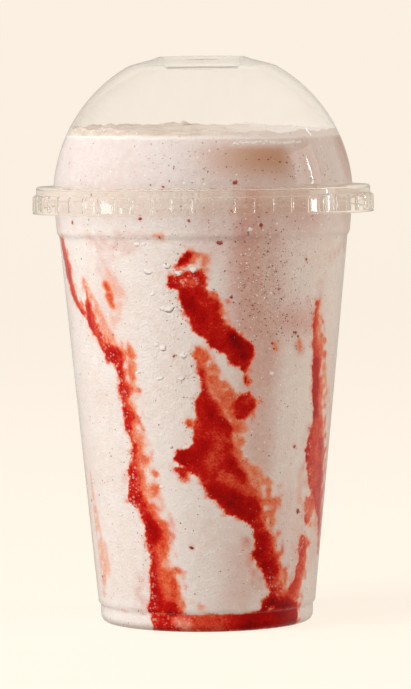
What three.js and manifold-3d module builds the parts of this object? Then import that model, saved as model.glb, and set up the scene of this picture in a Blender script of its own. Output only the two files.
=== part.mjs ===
// A clear plastic cup of strawberry milkshake under a clear dome lid, with streaks of
// strawberry sauce against the inside of the cup's wall.
// Millimetres, +Z up, origin at the centre of the cup's foot, the shown side facing -Y.

import * as THREE from "three";
import { mergeVertices } from "three/addons/utils/BufferGeometryUtils.js";
import Module from "manifold-3d";

const wasm = await Module();
wasm.setup();

// Driving dimensions of the cup
const WALL = 0.6;
const GAP = 0.3;
const FOOT_RADIUS = 32.1;
const FOOT_CORNER = 2.6;
const FOOT_TOP = 5.2;
const FOOT_STEP = 0.7;
const PUNT_HEIGHT = 3.0;
const PUNT_RADIUS = 25.4;
const PUNT_SLOPE = 2.2;
const PUNT_CROWN = 0.3;
const CONE_FOOT_RADIUS = 32.8;
const CONE_SLOPE = 0.0961;
const SHOULDER_LOW = 116.3;
const SHOULDER_HIGH = 117.4;
const BAND_LOW_RADIUS = 44.15;
const BAND_HIGH_RADIUS = 44.9;
const RIM_RADIUS = 49.0;
const RIM_LOW = 127.4;
const RIM_TOP = 130.6;
const RIM_EASE = 0.6;

// Driving dimensions of the dome lid
const LID_WALL = 0.55;
const DOME_CENTRE = 128.0;
const DOME_RADIUS = 45.15;
const DOME_FOOT_RADIUS = 44.85;
const DOME_FILLET = 0.9;
const LEDGE_TOP = RIM_TOP + GAP + LID_WALL;
const LEDGE_RADIUS = 50.3;
const LEDGE_ROUND = 0.8;
const SKIRT_STEP = 128.9;
const SKIRT_STEP_HALF = 0.15;
const SKIRT_BOTTOM = 123.3;
const SKIRT_TOP_RADIUS = 50.55;
const SKIRT_FOOT_RADIUS = 51.0;
const LIP_RADIUS = 51.4;
const LIP_HEIGHT = 0.7;
const LIP_WIDTH = 0.75;
const SNAP_RADIUS = 48.9;
const SNAP_HEIGHT = 126.0;
const CREST_RADIUS = 14.6;
const CREST_WIDTH = 1.6;
const CREST_TOP = 170.3;
const DISH_RADIUS = 12.3;
const DISH_EDGE = 166.5;
const DISH_CENTRE = 168.4;
const GRIPS = 54;
const GRIP_WIDTH = 3.2;
const GRIP_RISE = 0.45;
const GRIP_TOP = 128.6;
const GRIP_FOOT = 124.2;

// Driving dimensions of the drink and of the sauce in it
const DRINK_LEVEL = 147.3;
const DRINK_NECK = 138;
const FROTH_TILT_Y = 0.04;
const FROTH_TILT_X = -0.006;
const FROTH_LUMPS = [
  { rise: 0.55, waveX: 0.31, shiftX: 0.4, waveY: 0.27, shiftY: 1.0 },
  { rise: 0.38, waveX: 0.47, shiftX: 2.7, waveY: 0.53, shiftY: 0.9 },
];
const SAUCE_DEPTH = 2.4;
const POOL_TOP = 5.0;
const POOL_INNER_RADIUS = 27.6;
const POOL_FROM = -36;
const POOL_TO = 60;
const CUTTER_REACH = 3;

// Facets round the axis, down the dome, round a corner or the rim, and across a streak
const CUP_FACETS = 48;
const LID_FACETS = GRIPS;
const DOME_STEPS = 6;
const CORNER_STEPS = 2;
const ROLL_STEPS = 5;
const SAUCE_FACETS = 2;
const POOL_FACETS = 8;

const radians = THREE.MathUtils.degToRad;

// Materials
const clearPlastic = new THREE.MeshStandardMaterial({
  color: 0xf4f1ec,
  roughness: 0.08,
  metalness: 0,
  transparent: true,
  opacity: 0.3,
});
const shakeMaterial = new THREE.MeshStandardMaterial({
  color: 0xead6c8,
  roughness: 0.45,
  metalness: 0,
});
const sauceMaterial = new THREE.MeshStandardMaterial({
  color: 0xb0180c,
  roughness: 0.25,
  metalness: 0,
});

// A closed geometry as a solid, turned face out if its profile ran the other way.
function solidOf(geometry) {
  const bare = geometry.clone();
  bare.deleteAttribute("normal");
  bare.deleteAttribute("uv");
  const merged = mergeVertices(bare, 1e-4);
  const index = Array.from(merged.index.array);
  const triangles = [];
  for (let i = 0; i < index.length; i += 3) {
    const [a, b, c] = index.slice(i, i + 3);
    if (a !== b && b !== c && c !== a) triangles.push(a, b, c);
  }
  const make = (order) =>
    new wasm.Manifold(
      new wasm.Mesh({
        numProp: 3,
        vertProperties: merged.attributes.position.array,
        triVerts: Uint32Array.from(order),
      }),
    );
  const made = make(triangles);
  return made.volume() > 0 ? made : make(triangles.reverse());
}

// A solid's surface as a geometry with flat facets.
function geometryOf(solid) {
  const mesh = solid.getMesh();
  const geometry = new THREE.BufferGeometry();
  geometry.setAttribute(
    "position",
    new THREE.BufferAttribute(Float32Array.from(mesh.vertProperties), 3),
  );
  geometry.setIndex(new THREE.BufferAttribute(Uint32Array.from(mesh.triVerts), 1));
  const facets = geometry.toNonIndexed();
  facets.computeVertexNormals();
  return facets;
}

// A profile of [radius, height] pairs turned once round Z.
function turned(profile, facets) {
  const points = profile.map(([r, z]) => new THREE.Vector2(r, z));
  return new THREE.LatheGeometry(points, facets).rotateX(Math.PI / 2);
}

// Heights and radii that several profiles share
const coneRadius = (z) => CONE_FOOT_RADIUS + CONE_SLOPE * (z - FOOT_TOP - FOOT_STEP);
const domeHeight = (r, radius) => DOME_CENTRE + Math.sqrt(radius ** 2 - r ** 2);
const domeRadiusAt = (z, radius) => Math.sqrt(radius ** 2 - (z - DOME_CENTRE) ** 2);

// A quarter-round corner of the foot, from the flat it stands on to the upright band.
function footCorner(bandRadius, corner, bottom) {
  const points = [];
  for (let i = 0; i <= CORNER_STEPS; i++) {
    const a = (i / CORNER_STEPS) * (Math.PI / 2);
    points.push([
      bandRadius - corner + corner * Math.sin(a),
      bottom + corner * (1 - Math.cos(a)),
    ]);
  }
  return points;
}

// The inside of the cup from the middle of its floor up to the rim, moved inwards by inset.
function insideProfile(inset) {
  const floor = PUNT_HEIGHT + WALL + inset;
  const bottom = WALL + inset;
  return [
    [0, floor + PUNT_CROWN],
    [PUNT_RADIUS + inset / 2, floor],
    [PUNT_RADIUS + PUNT_SLOPE + inset / 2, bottom],
    ...footCorner(FOOT_RADIUS - WALL - inset, FOOT_CORNER - WALL, bottom),
    [FOOT_RADIUS - WALL - inset, FOOT_TOP + inset / 2],
    [CONE_FOOT_RADIUS - WALL - inset, FOOT_TOP + FOOT_STEP + inset / 2],
    [coneRadius(SHOULDER_LOW) - WALL - inset, SHOULDER_LOW],
    [BAND_LOW_RADIUS - WALL - inset, SHOULDER_HIGH],
    [BAND_HIGH_RADIUS - WALL - inset, RIM_LOW],
  ];
}

// The cup: a thin tapered wall on a domed foot, a stacking shoulder and a rolled rim
function cupSolid() {
  const inside = insideProfile(0);
  const outside = [
    [0, PUNT_HEIGHT + PUNT_CROWN],
    [PUNT_RADIUS - WALL / 2, PUNT_HEIGHT],
    [PUNT_RADIUS + PUNT_SLOPE - WALL / 2, 0],
    ...footCorner(FOOT_RADIUS, FOOT_CORNER, 0),
    [FOOT_RADIUS, FOOT_TOP],
    [CONE_FOOT_RADIUS, FOOT_TOP + FOOT_STEP],
    [coneRadius(SHOULDER_LOW), SHOULDER_LOW],
    [BAND_LOW_RADIUS, SHOULDER_HIGH],
    [BAND_HIGH_RADIUS, RIM_LOW - WALL / 2],
  ];
  const rimCentre = (RIM_LOW + RIM_TOP) / 2;
  const rimHalf = (RIM_TOP - RIM_LOW) / 2;
  const rim = [];
  for (let i = 0; i <= ROLL_STEPS; i++) {
    const a = -Math.PI / 2 + (i / ROLL_STEPS) * Math.PI;
    rim.push([RIM_RADIUS - rimHalf + rimHalf * Math.cos(a), rimCentre + rimHalf * Math.sin(a)]);
  }
  const innerEdge = [
    [BAND_HIGH_RADIUS - WALL + RIM_EASE, RIM_TOP],
    [BAND_HIGH_RADIUS - WALL, RIM_TOP - RIM_EASE],
  ];
  return solidOf(
    turned([...outside, ...rim, ...innerEdge, ...inside.reverse()], CUP_FACETS),
  );
}

// The lid's outline, outside or inset by its wall, from the middle of its top to its ledge
function domeProfile(inset) {
  const radius = DOME_RADIUS - inset;
  const points = [
    [0, DISH_CENTRE - inset],
    [DISH_RADIUS * 0.55, DISH_CENTRE - inset - 0.3 * (DISH_CENTRE - DISH_EDGE)],
    [DISH_RADIUS + inset * 0.3, DISH_EDGE - inset],
    [CREST_RADIUS - 0.6 + inset * 0.5, CREST_TOP - 1.0 - inset],
    [CREST_RADIUS + inset * 0.2, CREST_TOP - inset],
    [CREST_RADIUS + CREST_WIDTH - inset * 0.2, CREST_TOP - 0.2 - inset],
  ];
  const first = Math.asin((CREST_RADIUS + 2 * CREST_WIDTH - inset * 0.4) / radius);
  const last = Math.asin((DOME_FOOT_RADIUS - inset) / radius);
  for (let i = 0; i <= DOME_STEPS; i++) {
    const a = first + (i / DOME_STEPS) * (last - first);
    points.push([radius * Math.sin(a), DOME_CENTRE + radius * Math.cos(a)]);
  }
  return points;
}

// One raised grip pad of the lid's skirt, a bar that stands out of the wall at angle turn
function gripSolid(turn) {
  const drop = GRIP_TOP - GRIP_FOOT;
  const lean = ((SKIRT_FOOT_RADIUS - SKIRT_TOP_RADIUS) * drop) / (SKIRT_STEP - SKIRT_BOTTOM);
  const side = new THREE.Shape([
    new THREE.Vector2(SKIRT_TOP_RADIUS - LID_WALL / 2, GRIP_TOP),
    new THREE.Vector2(SKIRT_TOP_RADIUS + GRIP_RISE - 0.1, GRIP_TOP - 0.15),
    new THREE.Vector2(SKIRT_TOP_RADIUS + lean + GRIP_RISE, GRIP_FOOT),
    new THREE.Vector2(SKIRT_TOP_RADIUS + lean - LID_WALL / 2, GRIP_FOOT),
  ]);
  const bar = new THREE.ExtrudeGeometry(side, { depth: GRIP_WIDTH, bevelEnabled: false });
  bar.translate(0, 0, -GRIP_WIDTH / 2);
  bar.rotateX(Math.PI / 2);
  bar.rotateZ(turn);
  return solidOf(bar);
}

// The dome lid: dished top, dome, ledge on the rim, flared skirt with a snap bead inside
function lidSolid() {
  const under = LEDGE_TOP - LID_WALL;
  const ledgeInside = LEDGE_RADIUS - LID_WALL;
  const outside = [
    [DOME_FOOT_RADIUS + DOME_FILLET * 0.4, LEDGE_TOP + DOME_FILLET * 0.3],
    [DOME_FOOT_RADIUS + DOME_FILLET, LEDGE_TOP],
    [LEDGE_RADIUS - LEDGE_ROUND, LEDGE_TOP],
    [LEDGE_RADIUS, LEDGE_TOP - LEDGE_ROUND],
    [LEDGE_RADIUS, SKIRT_STEP + SKIRT_STEP_HALF],
    [SKIRT_TOP_RADIUS, SKIRT_STEP - SKIRT_STEP_HALF],
    [SKIRT_FOOT_RADIUS, SKIRT_BOTTOM + LIP_HEIGHT],
    [LIP_RADIUS, SKIRT_BOTTOM + LIP_HEIGHT - SKIRT_STEP_HALF],
    [LIP_RADIUS, SKIRT_BOTTOM],
  ];
  const inside = [
    [LIP_RADIUS - LIP_WIDTH, SKIRT_BOTTOM],
    [SNAP_RADIUS, SNAP_HEIGHT],
    [SNAP_RADIUS + 0.6, RIM_LOW],
    [ledgeInside, SKIRT_STEP],
    [ledgeInside, under - LEDGE_ROUND / 2],
    [ledgeInside - LEDGE_ROUND / 2, under],
    [DOME_FOOT_RADIUS - LID_WALL + DOME_FILLET / 2, under],
  ];
  const profile = [
    ...domeProfile(0),
    ...outside,
    ...inside,
    ...domeProfile(LID_WALL).reverse(),
  ];
  let lid = solidOf(turned(profile, LID_FACETS).rotateZ(Math.PI / LID_FACETS));
  for (let i = 0; i < GRIPS; i++) {
    lid = lid.add(gripSolid((i / GRIPS) * 2 * Math.PI));
  }
  return lid;
}

// How far the drink's top stands above its level: it leans up to the back and is lumpy.
function frothRise(x, y) {
  let rise = FROTH_TILT_Y * y + FROTH_TILT_X * x;
  for (const lump of FROTH_LUMPS) {
    rise +=
      lump.rise *
      Math.sin(lump.waveX * x + lump.shiftX) *
      Math.sin(lump.waveY * y + lump.shiftY);
  }
  return rise;
}

// The whole body of drink: it fills the cup and stands up into the dome
function drinkSolid() {
  const side = insideProfile(GAP);
  const neck = [BAND_HIGH_RADIUS - WALL - GAP, LEDGE_TOP - LID_WALL];
  const domeInside = DOME_RADIUS - LID_WALL - GAP;
  const edge = domeRadiusAt(DRINK_LEVEL, domeInside);
  const shares = [1, 0.9, 0.7, 0.45, 0.2, 0];
  const profile = [
    ...side,
    neck,
    [DOME_FOOT_RADIUS - LID_WALL - GAP, LEDGE_TOP + 1.2],
    [domeRadiusAt(DRINK_NECK, domeInside), DRINK_NECK],
    ...shares.map((share) => [edge * share, DRINK_LEVEL]),
  ];
  const geometry = turned(profile, CUP_FACETS);
  const position = geometry.attributes.position;
  for (let i = 0; i < position.count; i++) {
    const [x, y, z] = [position.getX(i), position.getY(i), position.getZ(i)];
    if (z < (DRINK_LEVEL + DRINK_NECK) / 2) continue;
    const toEdge = edge / Math.max(Math.hypot(x, y), 1e-6);
    const edgeHeight = DRINK_LEVEL + frothRise(x * toEdge, y * toEdge);
    const fit = domeRadiusAt(edgeHeight, domeInside) / edge;
    position.setXYZ(i, x * fit, y * fit, DRINK_LEVEL + frothRise(x, y));
  }
  return solidOf(geometry);
}

// Sauce streaks. Each run is a list of [height, left edge, right edge], edges in degrees round
// from the front.
const STREAKS = {
  sauce_streak_front_upper: [
    [[113.5, -10.5, -5.5], [109.5, -13, -1.5], [104.5, -14, 2], [99, -10.5, 4], [93.5, -7, 8],
      [88, -1, 14], [83.5, 7, 20.5], [80.5, 14, 20.5], [74, 17.5, 19.5]],
  ],
  sauce_streak_front_lower: [
    [[84.5, -4, 1], [79, -4, 4.5], [72.5, -3.5, 8], [66, -5, 14.5], [60, -5, 13], [56, -9, 13],
      [52, -14, 14], [48, -10, 18], [43.5, -2, 26], [39.5, 2, 30], [36, 9, 29],
      [31.5, 20.5, 30.5], [25, 23, 36], [17, 26.5, 41], [7.2, 34, 44.5]],
    [[70.5, 12, 20.5], [68, 9, 23], [65.5, 6, 18]],
  ],
  sauce_streak_left: [
    [[115, -85, -75.5], [109.5, -80, -72], [104, -76, -68.5], [99.5, -71.5, -66.5],
      [96.5, -66, -58], [93.5, -60, -52], [88, -53, -47], [82, -48, -38.5], [77, -41, -34.5],
      [64, -40, -34], [56.5, -35.5, -31], [50, -38.5, -31], [42, -39.5, -27], [34, -32, -21.5],
      [24, -30, -20.5], [15, -31.5, -17], [7.2, -32, -14]],
  ],
  sauce_streak_right: [
    [[101, 54, 56], [93, 52, 56.5], [84, 52.5, 61], [73, 54.5, 65], [60, 59, 69],
      [54, 55, 73], [44, 52.5, 78], [34.5, 54, 80.5], [29, 64, 85], [20, 78, 84.5]],
  ],
  sauce_streak_right_foot: [
    [[27, 54, 62], [19, 52, 62], [13, 48.5, 59.5], [7.2, 46.5, 54]],
  ],
  sauce_streak_back_left: [
    [[112, -130, -124], [104, -138, -126], [94, -143, -131], [84, -140, -134],
      [74, -136, -127], [62, -138, -123], [51, -141, -131], [41, -145, -130],
      [30, -140, -125], [18, -133, -124], [7.2, -136, -125]],
  ],
  sauce_streak_back: [
    [[108, 174, 179], [99, 172, 188], [88, 181, 200], [79, 192, 200], [70, 187, 197],
      [60, 178, 198], [48, 179, 200], [38, 188, 205], [25, 193, 203], [7.2, 187, 199]],
  ],
  sauce_streak_back_right: [
    [[114, 120, 125], [103, 120, 130], [92, 127, 137], [80, 128, 134], [68, 120, 133],
      [56, 120, 138], [43, 129, 141], [26, 125, 132], [7.2, 121, 132]],
  ],
};

// The drink's radius at a height on the tapered wall
const drinkRadius = (z) => coneRadius(z) - WALL - GAP;

// A bar that follows one run of sauce through the drink's side. It is SAUCE_DEPTH deep,
// and grow is how far every face of it is moved outwards.
function runCutter(rows, grow) {
  const ring = 2 * (SAUCE_FACETS + 1);
  const vertices = [];
  rows.forEach(([height, left, right], i) => {
    const above = rows[Math.max(i - 1, 0)];
    const below = rows[Math.min(i + 1, rows.length - 1)];
    const drop = above[0] - below[0];
    const radius = drinkRadius(height);
    const lean = (side) => (radians(above[side] - below[side]) * radius) / drop;
    const from = radians(left - 90) - (grow * Math.hypot(1, lean(1))) / radius;
    const to = radians(right - 90) + (grow * Math.hypot(1, lean(2))) / radius;
    const z = height + (i === 0 ? grow : 0) - (i === rows.length - 1 ? grow : 0);
    for (let k = 0; k < ring; k++) {
      const outer = k > SAUCE_FACETS;
      const share = (outer ? ring - 1 - k : k) / SAUCE_FACETS;
      const turn = from + share * (to - from);
      const r = radius + (outer ? CUTTER_REACH : -SAUCE_DEPTH - grow);
      vertices.push(r * Math.cos(turn), r * Math.sin(turn), z);
    }
  });
  const index = [];
  for (let k = 1; k < ring - 1; k++) {
    const last = (rows.length - 1) * ring;
    index.push(0, k, k + 1, last, last + k + 1, last + k);
  }
  for (let a = 0; a < (rows.length - 1) * ring; a++) {
    const b = (a % ring) + 1 === ring ? a + 1 - ring : a + 1;
    index.push(a, a + ring, b + ring, a, b + ring, b);
  }
  const geometry = new THREE.BufferGeometry();
  geometry.setAttribute("position", new THREE.Float32BufferAttribute(vertices, 3));
  geometry.setIndex(index);
  return solidOf(geometry);
}

// All the runs of one streak as one cutter
function streakCutter(runs, grow) {
  return runs.map((rows) => runCutter(rows, grow)).reduce((whole, run) => whole.add(run));
}

// A sector of ring round the foot that the pool of sauce takes out of the drink
function poolCutter(grow) {
  const from = radians(POOL_FROM - 90) - grow / FOOT_RADIUS;
  const to = radians(POOL_TO - 90) + grow / FOOT_RADIUS;
  const inner = POOL_INNER_RADIUS - grow;
  const outer = FOOT_RADIUS + CUTTER_REACH;
  const shape = new THREE.Shape();
  shape.absarc(0, 0, outer, from, to, false);
  shape.absarc(0, 0, inner, to, from, true);
  const sector = new THREE.ExtrudeGeometry(shape, {
    depth: CUTTER_REACH + POOL_TOP + grow,
    bevelEnabled: false,
    curveSegments: POOL_FACETS,
  });
  return solidOf(sector.translate(0, 0, -CUTTER_REACH));
}

// The parts
const cupOfMilkshake = new THREE.Group();

function addPart(name, solid, material) {
  const mesh = new THREE.Mesh(geometryOf(solid), material.clone());
  mesh.name = name;
  cupOfMilkshake.add(mesh);
}

const drink = drinkSolid();
let milkshake = drink.subtract(poolCutter(GAP));
addPart("cup", cupSolid(), clearPlastic);
addPart("dome_lid", lidSolid(), clearPlastic);
for (const [name, runs] of Object.entries(STREAKS)) {
  addPart(name, drink.intersect(streakCutter(runs, 0)), sauceMaterial);
  milkshake = milkshake.subtract(streakCutter(runs, GAP));
}
addPart("sauce_pool", drink.intersect(poolCutter(0)), sauceMaterial);
addPart("milkshake", milkshake, shakeMaterial);

export default cupOfMilkshake;
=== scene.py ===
"""Looks of a clear cup of strawberry milkshake under a dome lid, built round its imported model.

The drawing is in millimetres, and what Blender holds is in metres. Heights are above the
surface that the cup stands on, and turns are degrees round the upright axis, counted from the
shown front towards the right.
"""

import math
import random

import bpy
import numpy as np
from mathutils import Euler, Matrix, Quaternion, Vector, noise
from mathutils.bvhtree import BVHTree
from mathutils.kdtree import KDTree


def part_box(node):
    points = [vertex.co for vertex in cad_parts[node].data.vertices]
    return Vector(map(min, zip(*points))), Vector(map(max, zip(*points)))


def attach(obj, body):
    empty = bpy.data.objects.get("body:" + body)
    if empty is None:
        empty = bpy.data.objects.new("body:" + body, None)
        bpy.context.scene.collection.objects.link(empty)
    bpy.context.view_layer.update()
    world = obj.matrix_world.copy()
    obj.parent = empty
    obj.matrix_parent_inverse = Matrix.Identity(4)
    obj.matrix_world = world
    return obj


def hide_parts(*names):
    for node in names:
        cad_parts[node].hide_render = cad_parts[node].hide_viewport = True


bl_info = {
    "name": "Cup of strawberry milkshake",
    "version": (1, 0, 0),
    "blender": (4, 5, 0),
    "location": "3D View > Sidebar > Milkshake",
    "description": "Builds a clear cup of strawberry milkshake with sauce streaks and a dome lid",
    "category": "Object",
}

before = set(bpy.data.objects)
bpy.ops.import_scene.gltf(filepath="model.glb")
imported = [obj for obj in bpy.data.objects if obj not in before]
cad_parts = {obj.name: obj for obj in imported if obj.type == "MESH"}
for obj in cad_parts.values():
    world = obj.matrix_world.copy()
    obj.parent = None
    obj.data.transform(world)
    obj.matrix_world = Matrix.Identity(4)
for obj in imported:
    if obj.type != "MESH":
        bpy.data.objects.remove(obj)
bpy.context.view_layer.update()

MM = 0.001
BODY = "root"
BACK_STREAKS = ("sauce_streak_back_left", "sauce_streak_back", "sauce_streak_back_right")

CUP_LOW, CUP_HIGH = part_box("cup")
LID_LOW, LID_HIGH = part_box("dome_lid")
RIM_TOP = CUP_HIGH.z / MM
LID_TOP = LID_HIGH.z / MM
SKIRT_BOTTOM = LID_LOW.z / MM

# Millimetres from here on, as on the cup's drawing
WALL = 0.6
LID_WALL = 0.55
REACH = 0.25
FOOT_RADIUS = 32.1
FOOT_CORNER = 2.6
FOOT_TOP = 5.2
FOOT_STEP = 0.7
PUNT_HEIGHT = 3.0
PUNT_RADIUS = 25.4
PUNT_SLOPE = 2.2
PUNT_CROWN = 0.3
CONE_FOOT = 32.8
CONE_SLOPE = 0.0961
SHOULDER_LOW = 116.3
SHOULDER_HIGH = 117.4
BAND_LOW = 44.15
BAND_HIGH = 44.9
RIM_RADIUS = 49.0
RIM_LOW = 127.4
DOME_CENTRE = 128.0
DOME_RADIUS = 45.15
DOME_FOOT = 44.85
LEDGE_TOP = RIM_TOP + 0.3 + LID_WALL
LEDGE_RADIUS = 50.3
SKIRT_STEP = 128.9
SKIRT_TOP_RADIUS = 50.88
SKIRT_WALL = 0.45
SKIRT_FOOT_RADIUS = 51.0
LIP_RADIUS = 51.4
CREST_RADIUS = 13.4
SHOULDER_RADIUS = 22.0
DISH_RADIUS = 10.9
DISH_EDGE = 166.7
DISH_CENTRE = 168.2
GRIPS = 54
GRIP_COLUMNS = 12
GRIP_SHARE = 0.13
GRIP_RISE = 0.45
GRIP_LOW = 124.2
GRIP_HIGH = 128.3
DRINK_LEVEL = 147.3
# The froth climbs the wall at its edge over this width
CLIMB = 2.5

# How finely each turned piece is divided
CUP_COLUMNS = 192
DRINK_COLUMNS = 340
DRINK_ROW = 0.75
FOOT_ROW = 0.1
TOP_RINGS = 44

# Edges of each streak that shows, from its top down: a height, then the turns of its left
# edge, of its right edge, and of the end of the thin wash of sauce to the right of it
SAUCE_RUNS = {
    "sauce_streak_front_upper": [
        [(113.7, -6.4, -4.6, -3), (112.4, -8, -3.2, 0.6), (111, -9.4, -3.4, 2),
         (109.6, -10.8, -4.6, 1.8), (108.6, -12, -7.2, -5), (107.8, -12.8, -10.2, -9)],
        [(109.4, -1.6, 0, 1.6), (107.6, -3, 1, 2), (106.3, -9, 1.4, 2), (105.3, -13.6, 1.4, 2),
         (103.5, -14.3, 1.6, 2.2), (102.2, -13.6, 1.2, 2.2), (101, -10.8, 2, 4),
         (97.4, -9.2, 7, 9), (94.3, -7.4, 8.3, 9.5), (91.8, -5.4, 8.8, 9.6), (90, -4, 12, 13),
         (87.5, -1, 17, 17.6), (85, 3, 20.6, 21.2), (82.5, 8, 21.6, 22.2), (80, 12, 19.6, 20.4),
         (79, 14.6, 18.4, 19.4), (77, 16.2, 18.2, 19.4), (74.2, 17.4, 19.2, 20)],
    ],
    "sauce_streak_front_lower": [
        [(84.8, -3.6, -0.4, 1.5), (82.5, -4.6, 2.4, 4.5), (79.5, -3.7, 1.2, 5.5),
         (75, -2, 1.6, 8), (72, -2, 3.4, 10), (68, -4.6, 8, 14), (64, -4.6, 10.6, 15),
         (61, -5.7, 13.4, 17), (57.3, -5.2, 13.2, 17), (55.6, -8, 13.4, 16.6),
         (54.6, -12.8, 14, 17), (52, -14.8, 15, 18.5), (50.2, -12, 16.4, 20),
         (48.4, -7, 18.2, 24), (46.8, -3.6, 20, 28), (43, -0.5, 25, 35), (40.5, 0.8, 27.4, 38),
         (39, 5.6, 28, 37), (35.6, 10.4, 28.4, 35), (34.8, 14.6, 28.4, 34.6),
         (31.4, 22.6, 31, 36), (29, 24.2, 34, 38), (25, 24, 36, 40),
         (22.5, 24, 37.6, 41.4), (20.2, 25.4, 39.4, 43), (16.5, 30, 41, 45.6),
         (12, 34, 45.4, 49), (9.4, 31.6, 49, 52), (6.4, 29, 57, 58)],
        [(71, 14.5, 19.5, 21), (69, 11.5, 22.8, 24), (66.8, 10.5, 23.2, 24.6),
         (65, 12.5, 20.5, 22.5), (63.4, 14, 17.4, 19.5)],
        [(64, -7.6, -6, -5), (62.8, -9.4, -5, -4), (61.5, -8, -5, -4)],
        [(49.9, -14.4, -10, -8), (48.6, -15.2, -8.4, -5), (46, -10.8, -8.6, -7.4)],
    ],
    "sauce_streak_left": [
        [(116.5, -82, -74.4, -73), (109.5, -78.4, -70.6, -69), (104, -74.6, -68, -67),
         (100, -71, -66, -65), (96, -66.2, -61, -60), (93.4, -61, -54.6, -53)],
        [(103.5, -56.9, -55.7, -55), (98.5, -57.2, -54.4, -53.4), (96.8, -58.4, -53.4, -52),
         (92.5, -58.3, -51, -49.4), (90, -56, -48.4, -46), (86, -51.8, -45, -43.5),
         (84.6, -49.8, -38, -35), (82.5, -47.8, -36.4, -34), (80.6, -46.8, -36.6, -34),
         (79, -41.2, -36.6, -34.4), (74.5, -40, -35.2, -32), (72.6, -40.2, -32.8, -31),
         (69, -40, -34.6, -31.4), (64.5, -39.5, -32.4, -30), (60, -38.4, -33.6, -29),
         (57.6, -36.4, -33.2, -28), (56, -35, -30.6, -27), (52, -35.8, -31.4, -25.4),
         (48, -38.5, -30.2, -24.2), (42.5, -39.6, -29.6, -21.5), (39.2, -39.8, -28.6, -20.5),
         (36.4, -33.8, -27, -20), (33, -32.4, -22.6, -17), (29, -30.8, -18.8, -15.8),
         (24, -30, -19.8, -16.4), (20.4, -29.6, -20.4, -16), (18, -29.8, -16.6, -12.8),
         (14, -30.4, -14.4, -11), (9, -31.2, -14.4, -11), (5.6, -31.8, -12.8, -10)],
    ],
    "sauce_streak_right": [
        [(98, 52.4, 55.4, 56.4), (92, 51.8, 55.4, 58), (89, 52.6, 57, 61), (84, 53, 60, 64),
         (80, 53.5, 61, 65), (75, 54, 61, 65.5), (70, 54.5, 63, 69), (65, 57, 63.5, 68.5),
         (62, 57, 66, 71), (59.4, 55.4, 68, 73),
         (57, 54, 69, 75), (52, 53, 70, 77), (47, 54.6, 73, 80), (44, 56.6, 74, 82),
         (41, 60, 75, 84), (38, 64, 76, 84.6), (34.6, 67, 75, 84.6), (31, 72, 79, 84.6),
         (26, 75, 80, 84.6), (21, 78, 81.5, 84.6)],
        [(39.6, 55.6, 59, 61), (37.6, 55, 64, 67), (34.4, 55, 65, 69), (32, 56, 62, 66),
         (30.6, 57, 59.4, 62)],
    ],
    "sauce_streak_right_foot": [
        [(27.2, 53.6, 58.6, 61), (25, 52.6, 60.6, 63.4), (22, 52.4, 60.4, 63.4),
         (20, 53, 60.2, 63), (17, 51.4, 59.6, 62.4), (14, 50, 58.2, 61.6), (12, 47, 56.6, 60),
         (10, 43, 55, 58.6), (8, 41, 53.6, 58), (6, 40, 55, 58)],
    ],
    "sauce_pool": [
        [(6, 30, 56, 57), (5.1, -31, 58, 59.4), (0, -31.6, 58.6, 60)],
    ],
}

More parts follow.
